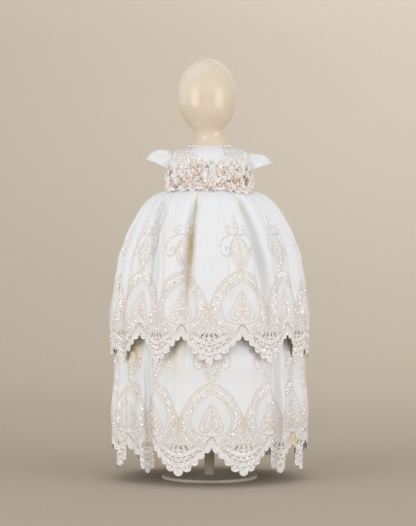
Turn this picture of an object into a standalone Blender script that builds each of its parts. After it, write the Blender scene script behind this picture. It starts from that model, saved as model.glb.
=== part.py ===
"""A christening gown with a flower belt, standing on the limbless display form that it is shown on.

Metres, +Z up. The front of the gown faces -Y and the wearer's left is at +X. The origin is the middle of the
underside of the form's round foot, so the part stands on the plane Z = 0. Sizes below are in millimetres.
A skirt is worked out from its outline, its folds and its lace repeat: "cloth" is a place round the hem counted
in lace repeats, from 0 at the centre front to 6 at the centre back, and it stays at the same place of the
fabric at each height, so folds take up fabric as they do when cloth is pleated.
"""
import math

import bmesh
import bpy
import numpy as np
from mathutils import Vector
from mathutils.geometry import delaunay_2d_cdt

MM = 0.001
SEAM = 0.3  # gap between two pieces that are sewn or rest on each other
WALL = 1.4  # satin or organza with its lace
LACE_WALL = 1.0  # lace laid on the bodice
RIBBON_WALL = 1.2

# --- the waist seam and the skirts -----------------------------------------------------------------------
WAIST_Z = 632.0
REPEATS = 12  # lace repeats round each tier
REPEAT = 141.0  # cut width of one repeat
COLUMNS = 8  # points across one repeat

# outline of the upper tier: height, half width, half depth
UPPER_OUTLINE = [
    (250, 216, 187), (289, 217, 187), (316, 219, 188), (355, 219, 188), (382, 216, 186), (408, 211, 181),
    (434, 208, 179), (461, 203, 175), (487, 199, 171), (514, 189, 162), (540, 180, 154), (566, 166, 142),
    (593, 150, 128), (606, 139, 119), (619, 123, 105), (627, 108, 92), (631.7, 93.2, 79.2),
]
# outline of the lower tier, whose top is hidden under the upper one
LOWER_OUTLINE = [
    (0, 212, 182), (78, 214, 184), (104, 214, 184), (144, 216, 185), (184, 213, 183), (230, 209, 179),
    (252, 206, 176), (276, 199, 169), (304, 189, 161), (340, 177, 151), (400, 160, 136), (470, 136, 116),
    (530, 112, 95), (590, 97, 82), (631.7, 91.4, 77.4),
]
# main folds: place in the cloth, bearing at the hem and at the waist, depth at the hem, the middle and the top,
# half width; bearings in degrees from the centre front, towards +X
UPPER_FOLDS = [
    (-5.5, -164, -163, 20, 22, 18, 15), (-4.8, -143, -144, 24, 26, 20, 15), (-4.1, -121, -122, 18, 24, 22, 14),
    (-3.4, -101, -102, 22, 22, 18, 15), (-2.6, -78, -80, 18, 16, 12, 14), (-2.0, -62, -61, 8, 10, 8, 12),
    (-1.4, -41, -46, 13, 4, 2, 10), (-1.0, -33, -50, 7, 24, 20, 13), (-0.4, -13, -12, 5, 34, 26, 13),
    (0.1, 3, 1, 3, 5, 4, 12), (0.9, 34, 33, 5, 26, 22, 13), (1.4, 48, 50, 6, 10, 8, 13),
    (1.9, 62, 64, 16, 9, 8, 12), (2.6, 80, 79, 18, 18, 12, 14), (3.4, 101, 102, 24, 24, 18, 15),
    (4.0, 119, 121, 18, 26, 22, 14), (4.7, 141, 142, 24, 22, 18, 15), (5.4, 162, 161, 20, 26, 20, 15),
]
LOWER_FOLDS = [
    (-5.5, -164, -164, 24, 22, 24, 15), (-4.8, -143, -143, 20, 20, 26, 15), (-4.1, -121, -121, 26, 24, 22, 14),
    (-3.4, -101, -101, 20, 22, 24, 15), (-2.7, -79, -79, 16, 18, 20, 14), (-2.2, -63, -61, 12, 14, 14, 12),
    (-1.8, -48.5, -46, 15, 15, 12, 9), (-1.3, -39.5, -40, 30, 28, 20, 11), (-0.7, -26, -22, 4, 8, 14, 11),
    (0.0, 1.2, 1.2, 0, 0, 5, 10), (0.8, 31, 31, 8, 6, 10, 12), (1.3, 43.5, 43, 25, 22, 16, 11),
    (1.8, 55.5, 57, 18, 18, 14, 11), (2.3, 68, 60, 15, 14, 16, 12), (2.8, 82, 78, 18, 18, 20, 14),
    (3.4, 101, 101, 22, 20, 24, 15), (4.0, 119, 119, 24, 24, 22, 14), (4.7, 141, 141, 18, 18, 24, 15),
    (5.4, 162, 162, 26, 24, 22, 15),
]
# share of a fold's hem, middle and top depth at each height
UPPER_FADE = [(262, 1, 0, 0), (370, 0.55, 0.4, 0), (490, 0, 1, 0), (590, 0, 0, 1), (622, 0, 0, 0.25), (631.7, 0, 0, 0)]
LOWER_FADE = [(24, 1, 0, 0), (150, 0, 1, 0), (300, 0, 0, 1), (350, 0, 0, 0.4), (400, 0, 0, 0), (631.7, 0, 0, 0)]

# lace hem of one repeat: distance from the scallop's tip, height above it
HEM = [(0, 0), (12, 5), (26, 17), (35, 24), (46, 37), (53, 47), (REPEAT / 2, 57)]
UPPER_TIP_Z, LOWER_TIP_Z = 262.0, 24.0
# cut-through gaps of the lace fan over each tip: middle at the foot, middle at the head, width at the foot
FAN_GAPS = [(-18.0, -8.5, 7.0), (-6.2, -2.8, 6.6), (6.2, 2.8, 6.6), (18.0, 8.5, 7.0)]
FAN_FOOT, FAN_HEAD = 56.0, 76.0  # heights above the tip

# --- the bodice: height, half width, half depth from the waist to the neckline -----------------------------
BODICE = [
    (632, 92, 78), (645, 92.6, 78), (660, 93, 77.5), (675, 93, 76.5), (688, 92.4, 74), (699, 90.5, 70),
    (707, 86.5, 65), (713.5, 79, 59), (718.5, 69.5, 53), (723, 58.5, 48), (727, 48.5, 44.5), (729.5, 43.5, 42.5),
]
ARMHOLE_FOOT, ARMHOLE_TOP = 671.0, 709.5  # heights on the bodice's side
ARMHOLE_REACH = 29.0  # degrees that an armhole reaches round the body, front and back
NECK_BAND = 6.6
LACE_FOOT, LACE_REACH = 668.0, 0.93  # height of its lower edge, share of the panel that it covers
BELT_FOOT, BELT_TOP = 634.0, 663.0
HALF_COLUMNS = 6  # points across a quarter of the bodice, shared by the panels, the form and what lies on them

# --- the form: what its torso stands back from the bodice, and its neck and head ----------------------------
FORM_EASE = [(632, 6.0), (660, 2.8), (690, 2.2), (705, 1.8), (713, 1.55), (720, 1.2), (725, 1.4), (730, 3.0)]
TORSO_FOOT = 560.0
TORSO_SECTIONS = [(TORSO_FOOT, 76, 62), (TORSO_FOOT + 5, 81, 67), (595, 85, 71)]  # height, half width, half depth
# neck and head: height, half width, half depth, shift to +X, shift to +Y
NECK_HEAD = [
    (733, 36.5, 38.5, 3.5, 0), (741, 34.5, 37.5, 5, 0), (752, 33.5, 37.0, 1, 0), (762, 34.5, 38.5, -2, -1),
    (772, 40.0, 46.0, -4, -3), (784, 50.0, 57.0, -4, -3), (800, 58.5, 67.0, -5, -2), (820, 63.5, 73.5, -6, 1),
    (842, 65.0, 75.5, -6, 3), (864, 62.5, 73.0, -6, 4), (884, 55.0, 65.0, -6, 5), (901, 43.0, 51.5, -6, 5),
    (914, 26.0, 32.0, -6, 5), (920, 13.0, 16.0, -6, 5),
]
HEAD_TOP = 922.5
POLE_RADIUS = 11.0
FOOT_RADIUS, FOOT_HEIGHT, FOOT_EDGE = 105.0, 6.0, 2.0


def smooth(xs, ys, x):
    """The value at x of a smooth curve through the rows (xs, ys) that never overshoots them."""
    xs, ys = np.asarray(xs, float), np.asarray(ys, float)
    x = np.clip(x, xs[0], xs[-1])
    step, rise = np.diff(xs), np.diff(ys)
    slope = rise / step
    same = slope[:-1] * slope[1:] > 0
    mean = np.where(same, 2 * slope[:-1] * slope[1:] / np.where(same, slope[:-1] + slope[1:], 1), 0)
    tangent = np.concatenate([slope[:1], mean, slope[-1:]])
    i = np.clip(np.searchsorted(xs, x, side="right") - 1, 0, len(xs) - 2)
    t = (x - xs[i]) / step[i]
    ease = t * t * (3 - 2 * t)
    lean = step[i] * (t * (1 - t) ** 2 * tangent[i] - t * t * (1 - t) * tangent[i + 1])
    return ys[i] + rise[i] * ease + lean


def column(rows, number):
    return [row[number] for row in rows]


# --- materials ---------------------------------------------------------------------------------------------
def finish(name, rgb, roughness, metallic=0.0):
    """A named material; the colour is given as sRGB and stored as linear."""
    linear = [c / 12.92 if c <= 0.04045 else ((c + 0.055) / 1.055) ** 2.4 for c in rgb]
    material = bpy.data.materials.new(name)
    material.use_nodes = True
    shader = material.node_tree.nodes["Principled BSDF"]
    shader.inputs["Base Color"].default_value = (*linear, 1.0)
    shader.inputs["Roughness"].default_value = roughness
    shader.inputs["Metallic"].default_value = metallic
    return material


def add_object(name, bm, material):
    mesh = bpy.data.meshes.new(name)
    bm.to_mesh(mesh)
    bm.free()
    mesh.shade_smooth()
    mesh.set_sharp_from_angle(angle=math.radians(50))
    mesh.materials.append(material)
    piece = bpy.data.objects.new(name, mesh)
    bpy.context.scene.collection.objects.link(piece)
    return piece


# --- cloth: a flat net of (u, v) points, laid on a surface and given its wall --------------------------------
def grid_net(us, vs):
    """A net with a point for each u and v, as points and faces."""
    points = [(u, v) for v in vs for u in us]
    wide = len(us)
    faces = [
        (j * wide + i, j * wide + i + 1, (j + 1) * wide + i + 1, (j + 1) * wide + i)
        for j in range(len(vs) - 1)
        for i in range(wide - 1)
    ]
    return points, faces


def polar_net(rings, around):
    """A round net: a middle point and then rings, as (angle, reach) with reach from 0 to 1."""
    points = [(0.0, 0.0)] + [(i / around, j / rings) for j in range(1, rings + 1) for i in range(around)]
    faces = [(0, 1 + i, 1 + (i + 1) % around) for i in range(around)]
    for j in range(rings - 1):
        a, b = 1 + j * around, 1 + (j + 1) * around
        faces += [(a + i, b + i, b + (i + 1) % around, a + (i + 1) % around) for i in range(around)]
    return points, faces


def normal_at(where, u, v, du, dv):
    across = where(u + du, v) - where(u - du, v)
    along = where(u, v + dv) - where(u, v - dv)
    n = np.cross(across, along)
    return n / np.linalg.norm(n)


def cloth(name, net, where, material, wall=WALL, lift=0.0, du=0.01, dv=1.0, facing=1.0, axis=None):
    """One closed piece: the net laid on where(u, v), moved out by lift, and extruded to a wall's thickness.

    The wall is square to the surface, or along axis where one is given.
    """
    points, faces = net
    bm = bmesh.new()
    inside_place = bm.verts.layers.float_vector.new("inside_place")
    for u, v in points:
        place = where(u, v)
        out = facing * normal_at(where, u, v, du, dv) if axis is None else axis
        vert = bm.verts.new(Vector(place + out * (lift + wall / 2)) * MM)
        vert[inside_place] = Vector(place + out * (lift - wall / 2)) * MM
    bm.verts.ensure_lookup_table()
    for face in faces:
        bm.faces.new([bm.verts[i] for i in face])
    extruded = bmesh.ops.extrude_face_region(bm, geom=bm.faces[:])
    for item in extruded["geom"]:
        if isinstance(item, bmesh.types.BMVert):
            item.co = item[inside_place]
    bmesh.ops.recalc_face_normals(bm, faces=bm.faces[:])
    return add_object(name, bm, material)


# --- a skirt tier --------------------------------------------------------------------------------------------
class Skirt:
    """A gathered tier of skirt: gives the place of the cloth at a cloth coordinate and a height."""

    BEARINGS = np.radians(np.linspace(-180, 180, 1081))

    def __init__(self, outline, folds, fade, turn=4.0):
        self.outline, self.folds, self.fade, self.turn = outline, folds, fade, turn
        self.levels = {}

    def level(self, z):
        """The points round the tier at one height, and the cloth coordinate of each."""
        if z in self.levels:
            return self.levels[z]
        heights = column(self.outline, 0)
        a = smooth(heights, column(self.outline, 1), z)
        b = smooth(heights, column(self.outline, 2), z)
        stations = column(self.fade, 0)
        shares = [smooth(stations, column(self.fade, k), z) for k in (1, 2, 3)]
        rise = np.clip((z - stations[0]) / (stations[-1] - stations[0]), 0, 1)
        bearing = self.BEARINGS
        sink = np.zeros_like(bearing)
        anchors = []
        for place, hem, waist, *depths, half in self.folds:
            middle = math.radians(hem + (waist - hem) * rise**self.turn)
            depth = sum(share * d for share, d in zip(shares, depths))
            reach = half * (1.25 - 0.5 * rise) / ((a + b) / 2)
            off = (bearing - middle + math.pi) % (2 * math.pi) - math.pi
            near = np.clip(1 - np.abs(off) / (1.9 * reach), 0, 1)
            sink += depth * near * near * (3 - 2 * near)
            anchors.append((place, middle))
        x, y = a * np.sin(bearing), -b * np.cos(bearing)
        out = np.stack([np.sin(bearing) / a, -np.cos(bearing) / b])
        out /= np.linalg.norm(out, axis=0)
        ring = np.stack([x - out[0] * sink, y - out[1] * sink], axis=1)
        run = np.concatenate([[0], np.cumsum(np.linalg.norm(np.diff(ring, axis=0), axis=1))])
        places, marks = column(anchors, 0), np.interp(column(anchors, 1), bearing, run)
        places = [places[-1] - REPEATS, *places, places[0] + REPEATS]
        marks = [marks[-1] - run[-1], *marks, marks[0] + run[-1]]
        self.levels[z] = ring, np.interp(run, marks, places)
        return self.levels[z]

    def place(self, cloth_at, z):
        ring, cloth_of = self.level(round(float(z), 3))
        first = cloth_of[0]
        c = first + (cloth_at - first) % REPEATS
        return np.array([np.interp(c, cloth_of, ring[:, 0]), np.interp(c, cloth_of, ring[:, 1]), z])


def columns_of(folds, left, right):
    """Cloth coordinates of the columns between two side seams: one at each fold's bottom, and even steps between."""
    places = column(folds, 0)
    marks = sorted(p + turn * REPEATS for p in places for turn in (-1, 0, 1))
    columns = []
    for start, end in zip(marks, marks[1:]):
        steps = max(1, round((end - start) * COLUMNS))
        columns += [start + (end - start) * k / steps for k in range(steps)]
    return np.array([c for c in columns if left + 0.06 < c < right - 0.06])


def tips_between(first_tip, left, right):
    return [first_tip + k for k in range(2 * REPEATS) if left - 1 < first_tip + k < right + 1]


def lace_hem(first_tip, left, right):
    """Hem points (cloth, height above the tip) between two side seams."""
    points = []
    for tip in tips_between(first_tip, left, right):
        for across, up in [(-x, h) for x, h in HEM[:0:-1]] + HEM[:-1]:
            c = tip + across / REPEAT
            if left + 0.03 < c < right - 0.03:
                points.append((c, up))
    return points


def hem_height(c, first_tip):
    across = abs((c - first_tip + 0.5) % 1 - 0.5) * REPEAT
    return float(np.interp(across, column(HEM, 0), column(HEM, 1)))


def skirt_net(tier, tip_z, first_tip, left, right, rows, coarse_rows=()):
    """The net of half a tier: scalloped hem, the fans' gaps cut out, and rows of points up to the waist."""
    top = (coarse_rows or rows)[-1]
    side_rows = [z for z in [*rows, *coarse_rows] if z < top]
    columns = columns_of(tier.folds, left, right)
    spread = columns[1::2] if coarse_rows else columns
    border = [(left, tip_z + hem_height(left, first_tip))]
    border += [(c, tip_z + up) for c, up in lace_hem(first_tip, left, right)]
    border += [(right, tip_z + hem_height(right, first_tip))]
    border += [(right, z) for z in side_rows] + [(right, top)]
    border += [(c, top) for c in spread[::-1]] + [(left, top)]
    border += [(left, z) for z in side_rows[::-1]]
    points, loops = list(border), [list(range(len(border)))]
    tips = [tip for tip in tips_between(first_tip, left, right) if left + 0.2 < tip < right - 0.2]
    for tip in tips:
        for foot, head, width in FAN_GAPS:
            low = FAN_FOOT + abs(foot) / 6
            gap = [(foot - width / 2, low), (foot, low - 2.5), (foot + width / 2, low),
                   (head, FAN_HEAD - abs(head) / 2)]
            loops.append(list(range(len(points), len(points) + len(gap))))
            points += [(tip + x / REPEAT, tip_z + h) for x, h in gap]
    for z in rows:
        for c in columns:
            in_fan = any(abs(c - tip) * REPEAT < 25 for tip in tips) and FAN_FOOT - 9 < z - tip_z < FAN_HEAD + 9
            if z < top and z > tip_z + hem_height(c, first_tip) + 6 and not in_fan:
                points.append((c, z))
    points += [(c, z) for z in coarse_rows if z < top for c in spread]
    return cut_net(points, loops)


def cut_net(points, loops):
    """Triangles between an outer loop and the loops of its holes."""
    flat = [Vector((c * REPEAT, z)) for c, z in points]
    edges = [(loop[i], loop[(i + 1) % len(loop)]) for loop in loops for i in range(len(loop))]
    verts, _, faces, *_ = delaunay_2d_cdt(flat, edges, [], 1, 1e-5)
    polygons = [[flat[i] for i in loop] for loop in loops]
    kept = []
    for face in faces:
        middle = sum((verts[i] for i in face), Vector((0, 0))) / len(face)
        if inside(middle, polygons[0]) and not any(inside(middle, hole) for hole in polygons[1:]):
            kept.append(tuple(face))
    return [(v.x / REPEAT, v.y) for v in verts], kept


def inside(point, polygon):
    count = False
    for p, q in zip(polygon, polygon[1:] + polygon[:1]):
        if (p.y > point.y) != (q.y > point.y):
            if point.x < (q.x - p.x) * (point.y - p.y) / (q.y - p.y) + p.x:
                count = not count
    return count


# --- the bodice surface ----------------------------------------------------------------------------------------
BODICE_RUN = np.concatenate([[0], np.cumsum(np.hypot(np.diff(column(BODICE, 0)), np.diff(column(BODICE, 1))))])
BODICE_LENGTH = BODICE_RUN[-1]
BODICE_RUN = BODICE_RUN / BODICE_LENGTH


def body(bearing, s):
    """A place on the bodice: bearing in degrees from the centre front, s from the waist, 0, to the neck, 1."""
    z, a, b = (smooth(BODICE_RUN, column(BODICE, k), s) for k in (0, 1, 2))
    t = math.radians(bearing)
    tilt = 3.0 * max(0.0, s - 0.7) / 0.3  # the neckline is higher at the back than at the front
    return np.array([a * math.sin(t), -b * math.cos(t), z - tilt * math.cos(t)])


def run_at(z):
    return float(np.interp(z, column(BODICE, 0), BODICE_RUN))


ARM_FOOT, ARM_TOP = run_at(ARMHOLE_FOOT), run_at(ARMHOLE_TOP)


def armhole(turn):
    """A place on the armhole's edge: turn from 0 at its foot to 1 at its top, as (reach in degrees, s)."""
    return ARMHOLE_REACH * math.sin(math.pi * turn), ARM_FOOT + (ARM_TOP - ARM_FOOT) * (1 - math.cos(math.pi * turn)) / 2


def side_reach(s):
    """Degrees that the armhole takes from a panel at s."""
    if not ARM_FOOT < s < ARM_TOP:
        return 0.0
    turn = math.acos(1 - 2 * (s - ARM_FOOT) / (ARM_TOP - ARM_FOOT)) / math.pi
    return armhole(turn)[0]


def body_rows():
    low = [ARM_FOOT * k / 3 for k in range(4)]
    arm = [armhole(k / 6)[1] for k in range(1, 7)]
    high = [ARM_TOP + (1 - ARM_TOP) * k / 3 for k in range(1, 4)]
    return low + arm + high


def panel(centre, span, edge_gap=0.1):
    """Lays u from -1 to 1 between a panel's middle line and its armhole or side edges."""
    def where(u, s):
        s = min(max(s, 0.0), 1.0)
        return body(centre + u * (span - side_reach(s) - edge_gap), s)
    return where


def half_panel(start, end, edge_gap=0.12):
    """Lays u from 0 to 1 between the centre back, start, and an armhole or side edge, end."""
    sign = 1 if end > start else -1
    def where(u, s):
        s = min(max(s, 0.0), 1.0)
        first = start + sign * edge_gap
        return body(first + u * (end - sign * (side_reach(s) + edge_gap) - first), s)
    return where


# --- build -------------------------------------------------------------------------------------------------------
for old in list(bpy.data.objects):
    bpy.data.objects.remove(old, do_unlink=True)

satin = finish("white_satin", (0.93, 0.93, 0.94), 0.45)
lace = finish("beaded_lace", (0.90, 0.86, 0.83), 0.6)
binding = finish("white_binding", (0.95, 0.95, 0.95), 0.5)
petal_white = finish("ivory_petals", (0.93, 0.89, 0.86), 0.6)
petal_blush = finish("blush_petals", (0.86, 0.76, 0.70), 0.6)
shell = finish("cream_form", (0.87, 0.80, 0.70), 0.35)
steel = finish("beige_steel", (0.80, 0.76, 0.70), 0.5)
pearl = finish("pearl_buttons", (0.93, 0.91, 0.88), 0.3)


def build_foot():
    """The form's round foot: a disc with an eased upper edge, standing flat on the floor."""
    bm = bmesh.new()
    made = bmesh.ops.create_cone(bm, cap_ends=True, segments=40, radius1=FOOT_RADIUS * MM,
                                 radius2=FOOT_RADIUS * MM, depth=FOOT_HEIGHT * MM)
    bmesh.ops.translate(bm, verts=made["verts"], vec=(0, 0, FOOT_HEIGHT / 2 * MM))
    upper = [e for e in bm.edges if all(v.co.z > FOOT_HEIGHT * MM * 0.9 for v in e.verts)]
    bmesh.ops.bevel(bm, geom=upper, offset=FOOT_EDGE * MM, segments=2, profile=0.5, affect="EDGES", material=-1)
    add_object("form_foot", bm, steel)


def build_pole():
    bm = bmesh.new()
    low, high = FOOT_HEIGHT + SEAM, TORSO_FOOT - SEAM
    made = bmesh.ops.create_cone(bm, cap_ends=True, segments=20, radius1=POLE_RADIUS * MM,
                                 radius2=POLE_RADIUS * MM, depth=(high - low) * MM)
    bmesh.ops.translate(bm, verts=made["verts"], vec=(0, 0, (low + high) / 2 * MM))
    add_object("form_pole", bm, steel)


def build_form():
    """The form: a torso that stands back from the bodice, a neck and a plain egg head, in one smooth body."""
    bm = bmesh.new()
    bearings = [360 * i / (4 * HALF_COLUMNS) - 180 for i in range(4 * HALF_COLUMNS)]
    around = len(bearings)
    torso = [[(math.radians(t), a, b, z) for t in bearings] for z, a, b in TORSO_SECTIONS]
    rings = [[Vector((a * math.sin(t), -b * math.cos(t), z)) for t, a, b, z in ring] for ring in torso]
    for s in body_rows():
        ease = smooth(column(FORM_EASE, 0), column(FORM_EASE, 1), smooth(BODICE_RUN, column(BODICE, 0), s))
        places = [(body(t, s), normal_at(body, t, s, 1.0, 0.004)) for t in bearings]
        rings.append([Vector(place - out * ease) for place, out in places])
    for z, a, b, dx, dy in NECK_HEAD:
        turns = [math.radians(t) for t in bearings]
        rings.append([Vector((dx + a * math.sin(t), dy - b * math.cos(t), z)) for t in turns])
    rings = [[bm.verts.new(place * MM) for place in ring] for ring in rings]
    for low, high in zip(rings, rings[1:]):
        for i in range(around):
            bm.faces.new((low[i], low[(i + 1) % around], high[(i + 1) % around], high[i]))
    bm.faces.new(rings[0][::-1])
    crown = bm.verts.new(Vector((NECK_HEAD[-1][3], NECK_HEAD[-1][4], HEAD_TOP)) * MM)
    for i in range(around):
        bm.faces.new((rings[-1][i], rings[-1][(i + 1) % around], crown))
    bmesh.ops.recalc_face_normals(bm, faces=bm.faces[:])
    add_object("form_body", bm, shell)


upper = Skirt(UPPER_OUTLINE, UPPER_FOLDS, UPPER_FADE)
lower = Skirt(LOWER_OUTLINE, LOWER_FOLDS, LOWER_FADE, turn=1.0)
UPPER_ROWS = [335, 365, 405, 450, 500, 545, 580, 605, 621, WAIST_Z - SEAM]
LOWER_ROWS = [92, 122, 160, 200, 245, 290, 330]
LOWER_HIDDEN_ROWS = [385, 500, WAIST_Z - SEAM]
HALF = REPEATS / 4
SEAM_CLOTH = SEAM / 2 / REPEAT


def build_skirts():
    """Two tiers, each a front and a back joined at the side seams, hanging from the waist seam."""
    for tier, name, tip_z, first_tip, rows, hidden in (
        (upper, "overskirt", UPPER_TIP_Z, -6.0, UPPER_ROWS, ()),
        (lower, "underskirt", LOWER_TIP_Z, -6.5, LOWER_ROWS, LOWER_HIDDEN_ROWS),
    ):
        for side, start in (("front", -HALF), ("back", HALF)):
            left, right = start + SEAM_CLOTH, start + 2 * HALF - SEAM_CLOTH
            net = skirt_net(tier, tip_z, first_tip, left, right, rows, hidden)
            cloth(f"{name}_{side}", net, tier.place, satin, du=0.01, dv=0.5)


STEPS = np.arange(HALF_COLUMNS + 1) / HALF_COLUMNS
FINE = dict(du=0.02, dv=0.005)


def build_bodice():
    """The bodice: one front and two backs that button at the centre back."""
    rows = body_rows()
    both = np.concatenate([-STEPS[:0:-1], STEPS])
    cloth("bodice_front", grid_net(both, rows), panel(0, 90), satin, **FINE)
    cloth("bodice_back_right", grid_net(STEPS, rows), half_panel(-180, -90), satin, **FINE)
    cloth("bodice_back_left", grid_net(STEPS, rows), half_panel(180, 90), satin, facing=-1, **FINE)


def build_bodice_lace():
    """Lace appliques on the shoulders: they start above the belt and leave the centre front plain."""
    low, high = run_at(LACE_FOOT), 1 - (NECK_BAND + SEAM) / BODICE_LENGTH
    rows = [low] + [s for s in body_rows() if low + 0.01 < s < high - 0.01] + [high]
    across = np.append(STEPS[2:-1], LACE_REACH)
    settings = dict(wall=LACE_WALL, lift=WALL / 2 + 2 * SEAM + LACE_WALL / 2, **FINE)
    cloth("bodice_lace_front_left", grid_net(across, rows), panel(0, 90), lace, **settings)
    cloth("bodice_lace_front_right", grid_net(-across[::-1], rows), panel(0, 90), lace, **settings)
    cloth("bodice_lace_back_right", grid_net(across, rows), half_panel(-180, -90), lace, **settings)
    cloth("bodice_lace_back_left", grid_net(across, rows), half_panel(180, 90), lace, facing=-1, **settings)


def build_bands():
    """The binding round the neck, and the ribbon of the belt round the waist."""
    def around(u, s):
        return body(u * 180, min(max(s, 0.0), 1.0))
    both = np.concatenate([-STEPS[:0:-1], STEPS])
    across = np.concatenate([[-0.9985], both / 2 - 0.5, both[1:] / 2 + 0.5])
    across = np.unique(np.clip(across, -0.9985, 0.9985))
    settings = dict(wall=RIBBON_WALL, du=0.01, dv=0.005)
    lift = WALL / 2 + SEAM + RIBBON_WALL / 2
    rows = [1 - NECK_BAND / BODICE_LENGTH, 1.0]
    cloth("neck_binding", grid_net(across, rows), around, binding, lift=lift + 0.2, **settings)
    middle = (BELT_FOOT + BELT_TOP) / 2
    rows = [run_at(BELT_FOOT), run_at(middle), run_at(BELT_TOP)]
    cloth("belt_band", grid_net(across, rows), around, petal_blush, lift=lift, **settings)


# --- the closure and the bow at the centre back ----------------------------------------------------------------------
BUTTON_HEIGHTS = (674.0, 691.0, 706.0)
BUTTON_RADIUS, BUTTON_THICK, BUTTON_ASIDE = 4.5, 2.4, 7.0
KNOT = (8.0, 6.5, 8.8)  # half sizes
KNOT_Z = 642.3
BOW = [("left", 1, 99.0), ("right", -1, 90.0)]  # side of the wearer, sign of X, reach of the loop's tip
BOW_DEPTH, BOW_RISE, BOW_LIFT = 9.0, 15.0, 0.08  # half depth and half height of a loop, rise over its reach
TAILS = [("left", 1, 0.115, 478.0), ("right", -1, 0.10, 505.0)]  # side, sign, bearing in repeats from the back, end
TAIL_HALF, TAIL_TOP = 13.0, 629.5


def build_buttons():
    for number, height in enumerate(BUTTON_HEIGHTS, 1):
        s = run_at(height)
        depth = smooth(BODICE_RUN, column(BODICE, 2), s)
        bearing = 180 - math.degrees(BUTTON_ASIDE / depth)
        out = normal_at(body, bearing, s, 1.0, 0.005)
        seat = body(bearing, s) + out * (WALL / 2 + SEAM + BUTTON_THICK / 2)
        bm = bmesh.new()
        made = bmesh.ops.create_cone(bm, cap_ends=True, segments=12, radius1=BUTTON_RADIUS * MM,
                                     radius2=BUTTON_RADIUS * 0.72 * MM, depth=BUTTON_THICK * MM)
        turn = Vector((0, 0, 1)).rotation_difference(Vector(out))
        bmesh.ops.rotate(bm, verts=made["verts"], cent=(0, 0, 0), matrix=turn.to_matrix())
        bmesh.ops.translate(bm, verts=made["verts"], vec=Vector(seat) * MM)
        add_object(f"back_button_{number}", bm, pearl)


def build_bow():
    """The belt's ribbon tied at the back: a knot, two loops and two tails that lie on the over-skirt."""
    knot_y = BODICE[0][2] + WALL / 2 + SEAM + RIBBON_WALL + 2 * SEAM + KNOT[1]
    bm = bmesh.new()
    made = bmesh.ops.create_uvsphere(bm, u_segments=12, v_segments=6, radius=1.0)
    for vert in made["verts"]:
        squared = [math.copysign(abs(c) ** 0.75, c) for c in vert.co]
        vert.co = Vector((squared[0] * KNOT[0], knot_y + squared[1] * KNOT[1], KNOT_Z + squared[2] * KNOT[2])) * MM
    add_object("belt_knot", bm, petal_blush)

    for name, sign, reach in BOW:
        start = math.acos(1 - 2 * (KNOT[0] - 0.1) / reach) / (2 * math.pi)

        def loop(w, v, sign=sign, reach=reach):
            out = reach * (1 - math.cos(2 * math.pi * w)) / 2
            high = 6.0 + (BOW_RISE - 6.0) * math.sin(math.pi * w) ** 1.5
            return np.array([sign * out, knot_y + BOW_DEPTH * math.sin(2 * math.pi * w) * math.sin(math.pi * w) ** 0.3,
                             KNOT_Z + 3.0 + BOW_LIFT * out + v * high])

        net = grid_net(np.linspace(start, 1 - start, 15), [-1.0, 0.0, 1.0])
        cloth(f"belt_bow_{name}", net, loop, petal_blush, wall=RIBBON_WALL, du=0.005, dv=0.1, facing=-sign)

    plain = Skirt(UPPER_OUTLINE, [(-3.0, -90, -90, 0, 0, 0, 10), (3.0, 90, 90, 0, 0, 0, 10)], UPPER_FADE)
    for name, sign, aside, foot in TAILS:
        def tail(u, z, sign=sign, aside=aside):
            return plain.place(REPEATS / 2 - sign * aside + u * TAIL_HALF / REPEAT, z)

        rows = [foot] + [z for z in UPPER_ROWS if foot + 5 < z < TAIL_TOP] + [626.0, TAIL_TOP]
        net = grid_net([-1.0, -0.33, 0.33, 1.0], rows)
        cloth(f"belt_tail_{name}", net, tail, petal_blush, wall=RIBBON_WALL,
              lift=WALL / 2 + 2.4 * SEAM + RIBBON_WALL / 2, du=0.1, dv=0.5)


# --- cap sleeves ---------------------------------------------------------------------------------------------------
CAP_REACH = {1: 51.0, -1: 54.0}  # from the shoulder point to the tip, for each sign of X
CAP_RAISE = {1: 1.5, -1: 6.5}  # how much further up the middle of the cap stands
CAP_INSET = 0.945  # the cap's edge lies just inside the armhole's
CAP_COVER = 0.66  # share of the armhole's edge that the cap is sewn to, from the top down
CAP_PROFILE = [(0.0, 0.0, 0.0), (0.3, 0.34, 2.5), (0.6, 0.64, 0.5), (0.82, 0.86, -7.0), (1.0, 1.0, -17.0)]  # v, out, up
CAP_FOLDS = 3  # soft folds on each half


def sleeve(side):
    def where(u, v):
        """u from -1 at the front of the armhole over the shoulder to 1 at the back; v from the seam to the hem."""
        reach, s = armhole(1 - CAP_COVER * min(abs(u), 1.0))
        centre, inset = (ARM_FOOT + ARM_TOP) / 2, (WALL / 2 + SEAM + 0.6) / BODICE_LENGTH
        s = centre + (s - centre) * (1 - 2 * inset / (ARM_TOP - ARM_FOOT))
        bearing = 90 + math.copysign(reach * CAP_INSET, u)
        root = body(side * bearing, s)
        share = max(1 - abs(u) ** 1.7, 0.0)
        length = 5.0 + (CAP_REACH[side] - 5.0) * share
        ahead = smooth(column(CAP_PROFILE, 0), column(CAP_PROFILE, 1), v)
        up = smooth(column(CAP_PROFILE, 0), column(CAP_PROFILE, 2), v) + CAP_RAISE[side] * min(v / 0.3, 1.0)
        ripple = 1.3 * math.sin(math.pi * min(max(v, 0), 1)) * math.sin(2 * math.pi * CAP_FOLDS * abs(u)) * share
        return root + np.array([side * length * ahead, 0.12 * root[1] * v, up * (0.35 + 0.65 * share) + ripple])
    return where


def build_sleeves():
    across = np.linspace(-0.999, 0.999, 15)
    down = [0.0, 0.3, 0.6, 0.82, 1.0]
    for side, name in ((1, "left"), (-1, "right")):
        cloth(f"cap_sleeve_{name}", grid_net(across, down), sleeve(side), satin, du=0.01, dv=0.01, facing=-side)


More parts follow.
